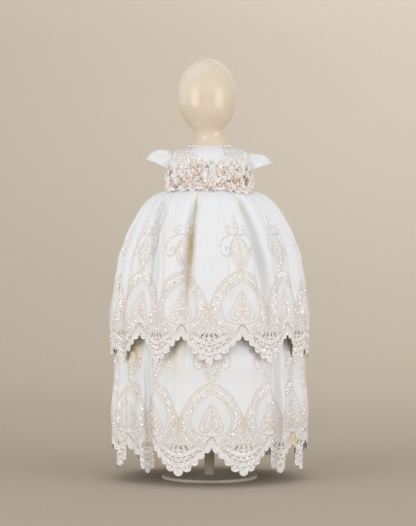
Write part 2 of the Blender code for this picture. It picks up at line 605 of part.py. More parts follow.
# --- belt flowers ------------------------------------------------------------------------------------------------------
ON_BODICE = WALL / 2 + SEAM  # how far a flower's back is from the middle of the bodice's wall
ON_BELT = ON_BODICE + RIBBON_WALL + SEAM
ON_LACE = WALL / 2 + 2 * SEAM + LACE_WALL + SEAM
# name, across, height, radius, petals, first petal's turn in degrees, what it is sewn to, tone
FLOWERS = [
    ("belt_flower_1", -80, 649, 18.5, 6, 10, ON_BELT, petal_white),
    ("belt_flower_2", -54, 672, 14.0, 5, 40, ON_LACE, petal_white),
    ("belt_flower_3", -38, 649, 14.0, 5, 0, ON_BELT, petal_blush),
    ("belt_flower_4", -24, 681, 17.0, 6, 25, ON_BODICE, petal_white),
    ("belt_flower_5", 3, 655, 21.5, 6, 15, ON_BELT, petal_white),
    ("belt_flower_6", 38, 676, 13.0, 5, 60, ON_LACE, petal_blush),
    ("belt_flower_7", 64, 680, 15.0, 5, 20, ON_LACE, petal_white),
    ("belt_flower_8", 50, 650, 14.5, 5, 50, ON_BELT, petal_blush),
    ("belt_flower_9", 80, 647, 15.5, 6, 35, ON_BELT, petal_blush),
]
# reach from the middle, height of the petal off the belt as a share of the radius
PETAL_RISE = [(0.0, 0.34), (0.33, 0.10), (0.67, 0.20), (1.0, 0.46)]


def build_flowers():
    for name, across, height, radius, petals, first, under, tone in FLOWERS:
        s = run_at(height)
        bearing = math.degrees(math.asin(across / smooth(BODICE_RUN, column(BODICE, 1), s)))
        out = normal_at(body, bearing, s, 1.0, 0.005)
        side = np.array([-out[1], out[0], 0.0])
        side /= np.linalg.norm(side)
        up = np.cross(out, side)
        low = radius * PETAL_RISE[1][1]
        seat = body(bearing, s) + out * (under + RIBBON_WALL / 2 - low)
        turn = math.radians(first)

        def where(angle, reach, radius=radius, petals=petals, seat=seat, side=side, up=up, out=out, turn=turn):
            w = 2 * math.pi * angle
            wave = math.cos(petals * w)
            r = radius * reach * (1 - 0.13 * (1 - wave) / 2 * reach)
            h = radius * smooth(column(PETAL_RISE, 0), column(PETAL_RISE, 1), reach) * (1 + 0.22 * wave * reach)
            return seat + side * r * math.cos(w + turn) + up * r * math.sin(w + turn) + out * h

        # a round net has no useful slope at its middle, so the wall is straight along the flower's axis
        cloth(name, polar_net(3, petals * 3), where, tone, wall=RIBBON_WALL, axis=out)


build_foot()
build_pole()
build_form()
build_skirts()
build_bodice()
build_bodice_lace()
build_bands()
build_buttons()
build_sleeves()
build_flowers()
build_bow()
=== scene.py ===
"""A christening gown of white satin and beaded lace, with its flower belt, on a limbless display form.

Metres, +Z up; the front faces -Y and the wearer's left is at +X. The room is written in metres, and all
the rest in millimetres, which are turned to metres where a mesh is made. "Cloth" is a place round a
skirt's hem counted in lace repeats, from 0 at the centre front to 6 at the centre back.
"""
import math
import random

import bmesh
import bpy
import numpy as np
from mathutils import Matrix, Vector


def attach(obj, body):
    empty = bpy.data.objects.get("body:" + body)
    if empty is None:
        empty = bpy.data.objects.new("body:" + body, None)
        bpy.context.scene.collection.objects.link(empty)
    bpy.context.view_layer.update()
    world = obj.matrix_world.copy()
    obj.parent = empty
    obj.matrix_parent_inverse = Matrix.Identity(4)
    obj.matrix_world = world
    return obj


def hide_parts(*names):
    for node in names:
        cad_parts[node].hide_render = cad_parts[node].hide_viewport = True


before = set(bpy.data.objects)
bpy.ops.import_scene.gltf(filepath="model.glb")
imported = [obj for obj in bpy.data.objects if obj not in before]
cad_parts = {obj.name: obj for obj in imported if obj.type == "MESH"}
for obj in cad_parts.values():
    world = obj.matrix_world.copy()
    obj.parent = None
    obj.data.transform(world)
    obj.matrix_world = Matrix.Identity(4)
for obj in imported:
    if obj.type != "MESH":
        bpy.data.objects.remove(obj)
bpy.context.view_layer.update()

# ---------------------------------------------------------------- the room
# A sweep of painted paper, floor and wall in one curve, with large soft lights in front and above.
# The camera stands level with the skirts, far enough away that the front is hardly enlarged.


def linear(hexa):
    """The linear colour of an sRGB hex value."""
    parts = [int(hexa[i:i + 2], 16) / 255 for i in (1, 3, 5)]
    return [c / 12.92 if c <= 0.04045 else ((c + 0.055) / 1.055) ** 2.4 for c in parts] + [1.0]


def add(tree, kind, settings=(), **links):
    """Adds a node. Settings are its sockets, by name or number, its properties, or a ramp's stops; links are
    sockets fed by outputs, by name, or by _ and their number."""
    made = tree.nodes.new("ShaderNode" + kind)
    for name, value in dict(settings).items():
        if name == "stops":
            ramp, stops = made.color_ramp.elements, [(at, linear(hexa)) for at, hexa in value]
            for end, (at, colour) in zip(ramp, (stops[0], stops[-1])):
                end.position, end.color = at, colour
            for at, colour in stops[1:-1]:
                ramp.new(at).color = colour
        elif isinstance(name, int) or name in made.inputs:
            made.inputs[name].default_value = value
        else:
            setattr(made, name, value)
    for name, source in links.items():
        socket = made.inputs[int(name[1:])] if name[0] == "_" else made.inputs[name.replace("_", " ")]
        tree.links.new(source, socket)
    return made


def new_finish(name, colour, roughness, **sockets):
    """A material with its shader's constants set: (material, tree, shader)."""
    made = bpy.data.materials.new(name)
    made.use_nodes = True
    tree = made.node_tree
    shader = tree.nodes["Principled BSDF"]
    shader.inputs["Base Color"].default_value = linear(colour)
    shader.inputs["Roughness"].default_value = roughness
    for socket, value in sockets.items():
        shader.inputs[socket.replace("_", " ")].default_value = value
    return made, tree, shader


# Matt painted paper: no gloss at all. Its colour carries painted shade, graded by height so that it is a
# little darker towards the floor.
sweep_paper, tree, shader = new_finish("matt_sweep_paper", "#cfc4b4", 0.95, Specular_IOR_Level=0.1)
where = add(tree, "TexCoord")
height = add(tree, "SeparateXYZ", Vector=where.outputs["Object"])
rise = add(tree, "MapRange", {"From Min": -0.1, "From Max": 1.9}, Value=height.outputs["Z"])
shade = add(tree, "ValToRGB", {"stops": [(0, "#baae9f"), (0.22, "#bbb1a2"), (1, "#d8cdbf")]},
            Fac=rise.outputs[0])
tree.links.new(shade.outputs["Color"], shader.inputs["Base Color"])

PAPER_HALF, PAPER_FRONT, PAPER_TOP = 6.0, -5.5, 5.0
BEND_FOOT, BEND_RADIUS, BEND_STEPS = 1.6, 1.2, 12
bm = bmesh.new()
run = [bm.verts.new((-PAPER_HALF, PAPER_FRONT, 0.0)), bm.verts.new((-PAPER_HALF, BEND_FOOT, 0.0))]
for step in range(1, BEND_STEPS + 1):
    turn = math.radians(90 * step / BEND_STEPS)
    back, up = BEND_FOOT + BEND_RADIUS * math.sin(turn), BEND_RADIUS - BEND_RADIUS * math.cos(turn)
    run.append(bm.verts.new((-PAPER_HALF, back, up)))
run.append(bm.verts.new((-PAPER_HALF, BEND_FOOT + BEND_RADIUS, PAPER_TOP)))
edges = [bm.edges.new(pair) for pair in zip(run, run[1:])]
made = bmesh.ops.extrude_edge_only(bm, edges=edges)
far_side = [v for v in made["geom"] if isinstance(v, bmesh.types.BMVert)]
bmesh.ops.translate(bm, verts=far_side, vec=(2 * PAPER_HALF, 0, 0))
bmesh.ops.recalc_face_normals(bm, faces=bm.faces[:])
mesh = bpy.data.meshes.new("sweep")
bm.to_mesh(mesh)
bm.free()
mesh.shade_smooth()
mesh.materials.append(sweep_paper)
sweep = bpy.data.objects.new("sweep", mesh)
bpy.context.scene.collection.objects.link(sweep)

TARGET = Vector((-0.0033, 0.0, 0.472))
DISTANCE, ELEVATION = 4.6, math.radians(1.5)
VIEW_HEIGHT = 1.157  # height of the picture at the gown's middle
SENSOR = 36.0
eye = TARGET + DISTANCE * Vector((0, -math.cos(ELEVATION), math.sin(ELEVATION)))
camera = bpy.data.objects.new("camera", bpy.data.cameras.new("camera"))
camera.data.sensor_width = SENSOR
camera.data.lens = SENSOR * DISTANCE / VIEW_HEIGHT
camera.data.clip_end = 60.0
camera.location = eye
camera.rotation_euler = (TARGET - eye).to_track_quat("-Z", "Y").to_euler()
bpy.context.scene.collection.objects.link(camera)
bpy.context.scene.camera = camera

# name, place, aim, width, watts, spread in degrees, tone
for name, place, aim, size, watts, spread, tone in (
    ("key", (-3.3, -2.6, 1.0), (0, 0, 0.36), 2.6, 55, 180, "#ffffff"),
    ("fill", (3.4, -2.3, 0.8), (0, 0, 0.35), 2.8, 55, 180, "#fcfdff"),
    ("front", (0.2, -4.6, 0.45), (0, 0, 0.42), 2.2, 8, 180, "#ffffff"),
    ("wall", (1.1, 1.3, 3.6), (0.9, 2.8, 1.6), 1.8, 21, 110, "#fbfdff"),
):
    lamp = bpy.data.lights.new(name, "AREA")
    lamp.shape = "DISK"
    lamp.size = size
    lamp.energy = watts
    lamp.color = linear(tone)[:3]
    lamp.spread = math.radians(spread)
    lamp_object = bpy.data.objects.new(name, lamp)
    lamp_object.location = place
    lamp_object.rotation_euler = (Vector(aim) - Vector(place)).to_track_quat("-Z", "Y").to_euler()
    bpy.context.scene.collection.objects.link(lamp_object)

room = bpy.data.worlds.new("room")
room.use_nodes = True
room.node_tree.nodes["Background"].inputs["Color"].default_value = linear("#f4f5f6")
room.node_tree.nodes["Background"].inputs["Strength"].default_value = 0.78
bpy.context.scene.world = room
bpy.context.scene.view_settings.view_transform = "Standard"


# ---------------------------------------------------------------- the display form
# A torso, neck and plain egg head cast in one in papier-mache, painted cream and varnished, on a steel
# pole and a round steel foot. The torso is hidden in the gown and stands just clear of it.
MM = 0.001


def column(rows, number):
    """One column of a table."""
    return [row[number] for row in rows]


def run_of(path):
    """How far along a path each of its points is, by its first two coordinates."""
    return np.concatenate([[0], np.cumsum(np.hypot(*np.diff(path, axis=0).T[:2]))])


def smooth(rows, number, x, stations=None):
    """A column of a table at x, on a smooth curve through its rows that never overshoots them. The rows
    stand at their first column or at the stations given."""
    xs = np.asarray(column(rows, 0) if stations is None else stations, float)
    ys = np.asarray(column(rows, number), float)
    x = np.clip(x, xs[0], xs[-1])
    step, rise = np.diff(xs), np.diff(ys)
    slope = rise / step
    same = slope[:-1] * slope[1:] > 0
    mean = np.where(same, 2 * slope[:-1] * slope[1:] / np.where(same, slope[:-1] + slope[1:], 1), 0)
    tangent = np.concatenate([slope[:1], mean, slope[-1:]])
    i = np.clip(np.searchsorted(xs, x, side="right") - 1, 0, len(xs) - 2)
    t = (x - xs[i]) / step[i]
    lean = step[i] * (t * (1 - t) ** 2 * tangent[i] - t * t * (1 - t) * tangent[i + 1])
    return ys[i] + rise[i] * t * t * (3 - 2 * t) + lean


def lay(name, places, finish, slot=None, stands_for=(), uv=None, marks=None, weld=False, drop=None):
    """A piece made from a flat grid whose points are laid at places[row, column]. uv gives each point's
    place across and up the cloth, and marks its colour marks. Faces in drop are cut out."""
    rows, columns = places.shape[:2]
    bm = bmesh.new()
    bmesh.ops.create_grid(bm, x_segments=columns - 1, y_segments=rows - 1, size=0.5)
    mesh = bpy.data.meshes.new(name)
    bm.to_mesh(mesh)
    mesh.vertices.foreach_set("co", (places.reshape(-1, 3) * MM).ravel())
    if uv is not None:
        corner = np.zeros(len(mesh.loops), int)
        mesh.loops.foreach_get("vertex_index", corner)
        flat = np.stack(uv, axis=-1).reshape(-1, 2) * MM
        mesh.uv_layers.new(name="cloth").data.foreach_set("uv", flat[corner].ravel())
    if marks is not None:
        spread = np.stack([np.broadcast_to(mark, (rows, columns)) for mark in marks], axis=-1)
        mesh.color_attributes.new("marks", "FLOAT_COLOR", "POINT").data.foreach_set("color", spread.ravel())
    bm.clear()
    bm.from_mesh(mesh)
    if drop is not None:
        bm.faces.ensure_lookup_table()
        bmesh.ops.delete(bm, geom=[bm.faces[i] for i in np.flatnonzero(drop.ravel())], context="FACES")
    if weld:
        bmesh.ops.remove_doubles(bm, verts=bm.verts[:], dist=1e-6)
    return finished(name, bm, finish, slot, stands_for, mesh)


def finished(name, bm, finish, slot=None, stands_for=(), mesh=None):
    """Turns a mesh into a piece of the object, smooth, riding on it, in place of the CAD nodes named."""
    mesh = mesh or bpy.data.meshes.new(name)
    bm.to_mesh(mesh)
    bm.free()
    mesh.shade_smooth()
    mesh.materials.append(finish)
    made = bpy.data.objects.new(name, mesh)
    bpy.context.scene.collection.objects.link(made)
    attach(made, "root")
    if stands_for:
        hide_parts(*stands_for)
    return made


# bodice: height, half width, half depth from the waist to the neckline
BODICE = [
    (632, 92, 78), (645, 92.6, 78), (660, 93, 77.5), (675, 93, 76.5), (688, 92.4, 74), (699, 90.5, 70),
    (707, 86.5, 65), (713.5, 79, 59), (718.5, 69.5, 53), (723, 58.5, 48), (727, 48.5, 44.5),
    (729.5, 43.5, 42.5),
]
BODICE_LENGTH = run_of(BODICE)[-1]
BODICE_RUN = run_of(BODICE) / BODICE_LENGTH
NECK_DIP = 3.0  # how far the neckline dips from back to front, either side of its level


def share_at(z):
    """How far up the bodice a height is, from the waist, 0, to the neckline, 1."""
    return np.interp(z, column(BODICE, 0), BODICE_RUN)


def body(bearing, s):
    """Places on the bodice, at bearings in degrees from the centre front, and s from the waist, 0, to the
    neckline, 1."""
    s = np.clip(s, 0, 1)
    z, a, b = (smooth(BODICE, k, s, BODICE_RUN) for k in (0, 1, 2))
    t = np.radians(bearing)
    dip = NECK_DIP * np.maximum(0.0, s - 0.7) / 0.3
    return np.stack([a * np.sin(t), -b * np.cos(t), z - dip * np.cos(t)], axis=-1)


def outward(where, u, v, du, dv):
    """Unit normals of the surface where(u, v)."""
    n = np.cross(where(u + du, v) - where(u - du, v), where(u, v + dv) - where(u, v - dv))
    return n / np.linalg.norm(n, axis=-1, keepdims=True)


def off_body(bearing, s, step=0.005):
    """Unit normals of the bodice."""
    return outward(body, bearing, s, 1.0, step)


# Cream oil paint on papier-mache, under gloss varnish: a soft clear highlight over faint brush streaks,
# about 15 mm wide, and over clouds of 110 mm in the tone.
cream_paint, tree, shader = new_finish("varnished_cream_paint", "#e2d2ba", 0.34,
                                       Coat_Weight=0.5, Coat_Roughness=0.12)
where = add(tree, "TexCoord")
streak = add(tree, "Mapping", {"Scale": (60, 60, 9)}, Vector=where.outputs["Object"])
brush = add(tree, "TexNoise", {"Scale": 1.0, "Detail": 4.0}, Vector=streak.outputs[0])
cloud = add(tree, "TexNoise", {"Scale": 9.0, "Detail": 2.0}, Vector=where.outputs["Object"])
tint = add(tree, "ValToRGB", {"stops": [(0.3, "#e2cfb4"), (0.7, "#f0e5d6")]}, Fac=cloud.outputs[0])
tree.links.new(tint.outputs[0], shader.inputs["Base Color"])
bump = add(tree, "Bump", {"Strength": 0.12, "Distance": 0.0004}, Height=brush.outputs[0])
tree.links.new(bump.outputs[0], shader.inputs["Normal"])

# room between the form and the satin's middle at each height
FORM_EASE = [(632, 6.0), (660, 2.8), (690, 2.2), (705, 1.8), (713, 1.55), (720, 1.2), (725, 1.4), (730, 3.0)]
TORSO = [(560, 1, 1), (560, 76, 62), (565, 81, 67), (595, 85, 71)]  # height, half width, half depth
# neck and head: height, half width, half depth, shift to +X, shift to +Y
NECK_HEAD = [
    (733, 41.0, 40.8, 1.5, 0), (741, 35.5, 38.0, 4, 0), (752, 33.5, 37.0, 1, 0), (762, 34.5, 38.5, -2, -1),
    (772, 40.0, 46.0, -4, -3), (784, 50.0, 57.0, -4, -3), (800, 58.5, 67.0, -5, -2),
    (820, 63.5, 73.5, -6, 1), (842, 65.0, 75.5, -6, 3), (864, 62.5, 73.0, -6, 4), (884, 55.0, 65.0, -6, 5),
    (901, 43.0, 51.5, -6, 5), (914, 26.0, 32.0, -6, 5), (920, 13.0, 16.0, -6, 5), (922.5, 0.01, 0.01, -6, 5),
]
turns = np.linspace(-180, 180, 97)
t = np.radians(turns)


def level_ring(z, a, b, dx=0, dy=0):
    """A level oval round the form, shifted by dx and dy."""
    return np.stack([dx + a * np.sin(t), dy - b * np.cos(t), np.full_like(t, z)], axis=1)


rings = [level_ring(*row) for row in TORSO]
for s in np.linspace(0, 1, 40):
    ease = smooth(FORM_EASE, 1, smooth(BODICE, 0, s, BODICE_RUN))
    rings.append(body(turns, s) - off_body(turns, np.full_like(turns, s), 0.004) * ease)
climb = run_of(NECK_HEAD)
for at in np.linspace(0, climb[-1], 70):
    rings.append(level_ring(*(smooth(NECK_HEAD, k, at, climb) for k in range(5))))
lay("display_form", np.array(rings), cream_paint, "cream_form", ["form_body"], weld=True)

# Beige powder coat on steel: even, with a fine orange peel of 1 mm.
powder_coat, tree, shader = new_finish("beige_powder_coat", "#c6bba9", 0.5)
where = add(tree, "TexCoord")
peel = add(tree, "TexNoise", {"Scale": 900.0, "Detail": 1.0}, Vector=where.outputs["Object"])
bump = add(tree, "Bump", {"Strength": 0.1, "Distance": 0.0003}, Height=peel.outputs[0])
tree.links.new(bump.outputs[0], shader.inputs["Normal"])
for name in ("form_pole", "form_foot"):
    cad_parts[name].data.materials.clear()
    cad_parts[name].data.materials.append(powder_coat)


# ---------------------------------------------------------------- the lace
# One repeat of the beaded lace that edges both skirts, charted in millimetres: corded ogee arches
# with a flower spray in each, scrolls over their points, a fan over each scallop and open work under it.
# x is the distance from a scallop's tip, h the height over it, and a the distance from an arch's middle.
REPEATS, REPEAT = 12, 141.0
HALF_REPEAT = REPEAT / 2
NOTCH = 66.0  # height of the edge between two scallops
# the round lobes of a scallop: x, h, radius
LOBES = [(0, 10.5, 10.5), (18.5, 19, 9.8), (34.5, 32, 9), (48, 46, 8.4), (60.5, 58, 8), (70.5, 65, 6)]


def hem_height(x):
    """Height of the scalloped edge over the tip at x: the lower side of a row of round lobes."""
    low = np.full(np.shape(x), NOTCH)
    for middle, height, radius in LOBES:
        inside = np.abs(x - middle) < radius
        arc = height - np.sqrt(np.maximum(radius**2 - (x - middle) ** 2, 0))
        low = np.where(inside, np.minimum(low, arc), low)
    return low


def eased(points, steps=6):
    """A smooth path through the points."""
    points = np.array([points[0], *points, points[-1]], float)
    path = []
    for p, q, r, s in zip(points, points[1:], points[2:], points[3:]):
        for t in np.arange(steps) / steps:
            bend = (2 * p - 5 * q + 4 * r - s) * t**2 + (3 * q - p - 3 * r + s) * t**3
            path.append(0.5 * (2 * q + (r - p) * t + bend))
    return np.array([*path, points[-1]])


def beside(start, end, x, h):
    """The share of the way along a straight line that is nearest to each place, and its distance."""
    (x0, h0), (x1, h1) = start, end
    long = max((x1 - x0) ** 2 + (h1 - h0) ** 2, 1e-9)
    t = np.clip(((x - x0) * (x1 - x0) + (h - h0) * (h1 - h0)) / long, 0, 1)
    return t, np.hypot(x - x0 - t * (x1 - x0), h - h0 - t * (h1 - h0))


def distance(path, x, h):
    """Distance of each place from a path."""
    near = np.full(x.shape, 1e9)
    for start, end in zip(path, path[1:]):
        near = np.minimum(near, beside(start, end, x, h)[1])
    return near


# outlines drawn from an arch's middle: a, h
ARCH_OUTER = [
    (0, 203), (5, 199), (10, 196), (18, 192), (31, 184), (43, 172), (51, 160), (57, 149), (62, 140),
    (66, 131), (69, 118), (70.5, 104),
]
ARCH_INNER = [
    (0, 177), (8, 172), (18, 165), (30, 153), (38, 141), (42, 128), (42.5, 114), (38, 101), (28, 91.5),
    (14, 86.5), (0, 85),
]
PEAR = [
    (0, 152), (6, 147), (11, 138), (17, 126), (23, 114), (26, 104), (22, 95.5), (12, 94), (4, 99), (0, 104),
]
BULB = [
    (6, 200), (10, 206), (14, 214), (18, 224), (20, 236), (19, 247), (16, 257), (11, 265), (6, 272),
    (3, 280), (2.5, 290),
]
# the middle of the arch's band: a, h
BAND = [(3, 195), (16, 181), (30, 167), (42, 152), (51, 137), (55, 121), (54, 104), (46, 91), (36, 80)]
# the spray's ground: height, half width
SPRAY = [(94, 12), (96, 21), (103, 25.5), (114, 23), (126, 17), (138, 11), (147, 6), (152, 0)]
ARCH_POINT = 204  # where the stem with its bulb begins
# the scroll beside the bulb: a, h
SCROLL = [(0, 272), (10, 274), (20, 273), (31, 267), (39, 258), (42, 247), (40, 236), (33, 228.5), (25, 230)]
# cords drawn from an arch's middle: half width, height, path of (a, h)
ARCH_CORDS = [
    (1.2, 0.9, ARCH_OUTER), (1.0, 0.8, ARCH_INNER), (1.0, 0.7, PEAR), (0.9, 0.6, BULB),
    (0.8, 0.5, [(0, 197), (14, 188), (30, 178), (42, 165), (52, 148), (59, 134), (63, 121), (64, 106)]),
    (0.8, 0.5, [(0, 183), (10, 178), (22, 169), (34, 157), (43, 144), (47, 129), (47, 112), (42, 98),
        (31, 88)]),
    (0.8, 0.6, [(0, 143), (5, 137), (9, 128), (14, 117), (17, 107), (14, 101), (8, 101), (3, 106),
        (0, 112)]),
    (0.8, 0.6, [(0, 106), (0, 140)]), (0.8, 0.5, [(0, 118), (7, 126)]), (0.8, 0.5, [(0, 112), (9, 115)]),
    (1.3, 1.0, [*SCROLL, (21, 237), (23, 245), (29, 247), (31, 241)]),
    (0.9, 0.7, [(3, 284), (12, 291), (20, 292), (27, 287), (26, 279), (19, 277), (15, 282), (19, 286)]),
    (0.9, 0.6, [(10, 262), (16, 254), (17, 244), (14, 232), (9, 220), (5, 208)]),
    (0.9, 0.6, [(0, 274), (4, 283), (5, 293), (3, 301), (0, 306)]), (0.8, 0.5, [(0, 204), (0, 268)]),
]
# little corded rings: a, h, radius
RINGS = [
    (0, 150, 4.5), (0, 128, 3.2), (11, 108, 5.0), (0, 312, 3.4), (26, 241, 2.6), (21, 284, 2.0),
    (0, 298, 2.4), (0, 193, 4.0), (0, 212, 3.4), (8, 218, 3.6), (0, 228, 4.6), (11, 233, 4.2),
    (0, 247, 5.0), (12, 250, 3.8), (0, 262, 3.6),
]
# cords drawn from a tip's middle: half width, height, path of (x, h)
TIP_CORDS = [
    (1.0, 0.9, [(0, 128), (0, 57)]), (0.9, 0.8, [(0.5, 104), (4, 84), (12, 57)]),
    (0.9, 0.8, [(1.5, 108), (9, 86), (24, 61)]), (0.9, 0.7, [(3, 114), (15, 90), (34, 68), (41, 64)]),
    (0.8, 0.6, [(4, 134), (5, 118), (12, 100), (24, 84), (38, 74)]),
    (0.8, 0.6, [(7, 140), (9, 122), (17, 105), (28, 92)]),
]
CHAINS = [15, 26, 37, 48]  # heights of the chained rows over a tip
LINK = 13.0  # length of a chain's link
FAN = [((6.2, 58.0), (4.4, 67.0)), ((17.6, 60.0), (12.6, 67.5))]  # open drops: foot and head, x, h


def chain_line(x, base):
    """Height of a chained row, which sags a little between its links."""
    return base + 0.0095 * x * x - 2.2 * np.abs(np.cos(np.pi * x / LINK))


def open_work(x, h):
    """How far inside a cut-out of the lace each place is, in millimetres; below 0 it is cloth."""
    depth = np.full(x.shape, -9.0)
    for foot, head in FAN:
        t, away = beside(foot, head, x, h)
        depth = np.maximum(depth, 1.3 * (1 - t) ** 0.5 + 0.1 - away)
    return depth


def rounded(away, half):
    """Height of a round cord at each distance from its middle line, as a share of its height there."""
    return np.sqrt(np.clip(1 - (away / half) ** 2, 0, 1))


def wave(turns):
    """A wave from 0 to 1 with its crests at whole turns."""
    return 0.5 + 0.5 * np.cos(2 * np.pi * turns)


def crossed(x, h, slant, pitch):
    """Two slanting waves crossed, as the threads of a fine mesh."""
    return wave((x + slant * h) / pitch) * wave((x - slant * h) / pitch)


def chart_lace(x, h):
    """Relief in millimetres, and cord, shade and ground from 0 to 1, at each place of half a repeat."""
    a = HALF_REPEAT - x
    thread, shade = np.zeros(x.shape), np.zeros(x.shape)

    def within(outline):
        """Whether places are inside an outline of heights and half widths from an arch's middle."""
        return a < np.interp(h, column(outline, 0), column(outline, 1), left=-1, right=-1)

    lace = h < np.interp(a, column(ARCH_OUTER, 0), column(ARCH_OUTER, 1))
    interior = lace & within(sorted((height, half) for half, height in ARCH_INNER))
    spray = within(SPRAY)
    stem = within(sorted((height, half) for half, height in BULB)) & (h > ARCH_POINT)
    # embroidered all over but inside the arches, where only little shows
    ground = np.where(spray | stem, 0.9, np.where(interior, 0.15, np.where(lace, 1.0, 0.0)))
    relief = 0.15 * ground

    def cord(away, half, height, tone=1.0):
        """Works a cord, given each place's distance from its middle line."""
        nonlocal relief, thread
        relief = np.maximum(relief, height * rounded(away, half))
        thread = np.maximum(thread, np.clip(1.4 * rounded(away, half), 0, 1) * tone)

    # florets of the band: small five-petalled rings to either side of its middle by turns
    middle = eased(BAND, 8)
    travel = run_of(middle)
    for k, along in enumerate(np.arange(3, travel[-1], 8.6)):
        off = 2.2 * (-1) ** k
        ca, ch = (np.interp(along, travel, middle[:, i]) + off for i in (0, 1))
        r, turn = np.hypot(a - ca, h - ch), np.arctan2(h - ch, a - ca)
        cord(np.abs(r - 2.9 - 0.9 * np.cos(5 * turn + k)), 0.8, 0.7, 0.45)
        cord(r, 1.1, 0.9, 0.0)
    for half, height, path in ARCH_CORDS:
        cord(distance(eased(path), a, h), half, height)
    for ra, rh, radius in RINGS:
        cord(np.abs(np.hypot(a - ra, h - rh) - radius), 0.8, 0.7, 0.7)
    for half, height, path in TIP_CORDS:
        cord(distance(eased(path), x, h), half, height)
    edge = hem_height(x)
    steep = np.clip(np.abs(np.gradient(edge, CHART_STEP, axis=1)), 0, 2.5)
    rim = (h - edge) / np.sqrt(1 + steep**2)
    cord(np.abs(rim - 0.9), 1.4, 1.0, 0.25)
    cord(np.where(rim > 0, np.abs(rim - 4.8), 9.0), 0.8, 0.6, 0.6)
    # chained rows with small openings between them, painted as shade
    for number, base in enumerate(CHAINS):
        shift = LINK / 2 * (number % 2)
        line = chain_line(x + shift, base)
        low = (rim > 6.5) & (h < 60 + 0.006 * x * x)
        cord(np.where(low, np.abs(h - line), 9.0), 1.3, 0.9, 0.1)
        gap = 2.6 * np.abs(np.cos(np.pi * (x + shift) / LINK)) ** 0.5 - 0.5 - np.abs(h - line - 4.2)
        shade = np.where(low, np.maximum(shade, np.clip(gap, 0, 0.95)), shade)
    # twisted net beside the notch, and fine mesh elsewhere
    bars = (x > 36) & (x < 60) & (h > 62) & (h < 84) & (h < 128 - x)
    ladder = wave((h * 0.92 + (x - 36) * 0.5) / 5.0)
    shade = np.where(bars, 0.5 * (1 - ladder) ** 1.5, shade)
    relief = np.where(bars, np.maximum(relief, 0.6 * ladder), relief)
    fan_lines = wave(x / np.maximum(1.2 + (128 - h) * 0.055, 1.2))
    fan = (h > 57) & (h < 118) & (x < (128 - h) * 0.55) & lace
    shade = np.where(fan, np.maximum(shade, 0.34 * (1 - fan_lines) ** 2), shade)
    fine = crossed(a, h, 0.6, 4.1)
    dense = (lace & ~interior & ~fan & (h >= 60)) | spray | stem
    shade = np.where(dense, np.maximum(shade, 0.14 * (1 - fine) ** 2), shade)
    shade = np.where(interior & ~spray, 0.06 * (1 - fine), shade)
    shade = np.clip(shade * (1 - thread), 0, 1)
    # painted shade round the rims of the cut-outs, where the dark behind them would show
    shade = np.maximum(shade, np.clip(open_work(x, h) + 0.9, 0, 1) * 0.9)
    return relief, thread, shade, ground


CHART_STEP, CHART_FOOT, CHART_TOP = 0.5, -2, 322  # between two places, and the heights that it covers
chart_x = np.arange(0, HALF_REPEAT + 0.6, CHART_STEP)
chart = np.stack(chart_lace(*np.meshgrid(chart_x, np.arange(CHART_FOOT, CHART_TOP, CHART_STEP))), axis=-1)


def between(rows, i, j):
    """Values of a table at places i, j between its rows and columns."""
    i, j = np.clip(i, 0, rows.shape[0] - 1.001), np.clip(j, 0, rows.shape[1] - 1.001)
    i0, j0 = i.astype(int), j.astype(int)
    fi, fj = (i - i0)[..., None], (j - j0)[..., None]
    low = rows[i0, j0] * (1 - fj) + rows[i0, j0 + 1] * fj
    high = rows[i0 + 1, j0] * (1 - fj) + rows[i0 + 1, j0 + 1] * fj
    return low * (1 - fi) + high * fi


def lace_at(x, h):
    """Relief, cord, shade and ground at distances x from the nearest tip and heights h over it."""
    read = between(chart, (h - CHART_FOOT) / CHART_STEP, x / CHART_STEP)
    return np.moveaxis(np.where((h < CHART_TOP - 2)[..., None], read, 0), -1, 0)


# White duchess satin, a wide soft sheen, with corded lace worked on it. Marks: red is cord, green is painted
# shade where the net's openings and the rims of its cut-outs would show the dark behind them, blue is
# painted warm shade deep in a fold and under the hem's notches, and alpha is the lace's ground, embroidered
# all over with petals of 3 mm, outlined in fine thread, each a little lighter or darker at random: partly
# its own tone and partly a painted sheen. Slubs of 3 mm by 70 run up the cloth. The fine twill is drawn 1.7
# mm apart, ten times as coarse as it is, to show.
lace_satin, tree, shader = new_finish("corded_lace_on_duchess_satin", "#f3f3f4", 0.48,
                                      Sheen_Weight=0.15, Sheen_Roughness=0.35)
marks = add(tree, "Attribute", {"attribute_name": "marks"})
split = add(tree, "SeparateColor", Color=marks.outputs["Color"])
cloth_uv = add(tree, "UVMap", {"uv_map": "cloth"})
slub = add(tree, "Mapping", {"Scale": (330, 14, 1)}, Vector=cloth_uv.outputs[0])
slub_noise = add(tree, "TexNoise", {"Scale": 1.0, "Detail": 3.0}, Vector=slub.outputs[0])
satin_tone = add(tree, "ValToRGB", {"stops": [(0.3, "#ecedef"), (0.7, "#f3f4f6")]},
                 Fac=slub_noise.outputs[0])
speck = add(tree, "TexVoronoi", {"Scale": 330.0}, Vector=cloth_uv.outputs[0])
speck_value = add(tree, "SeparateColor", Color=speck.outputs["Color"])
# each 3 mm petal of the ground is lighter or darker at random: partly its own tone and partly a painted
# sheen
petal_tones_and_sheen = [(0, "#f0edeb"), (0.25, "#f6f5f4"), (0.75, "#fcfcfc"), (1, "#ffffff")]
ground_tone = add(tree, "ValToRGB", {"stops": petal_tones_and_sheen}, Fac=speck_value.outputs["Red"])
petal_edge = add(tree, "TexVoronoi", {"Scale": 330.0, "feature": "DISTANCE_TO_EDGE"},
                 Vector=cloth_uv.outputs[0])
outline = add(tree, "MapRange", {"From Min": 0.03, "From Max": 0.13, "To Min": 0.5, "To Max": 0.0},
              Value=petal_edge.outputs["Distance"])
embroidered = add(tree, "Mix", {"data_type": "RGBA", 7: linear("#e0d9d5")},
                  _0=outline.outputs[0], _6=ground_tone.outputs[0])
mixed = add(tree, "Mix", {"data_type": "RGBA"},
            _0=marks.outputs["Alpha"], _6=satin_tone.outputs[0], _7=embroidered.outputs[2])
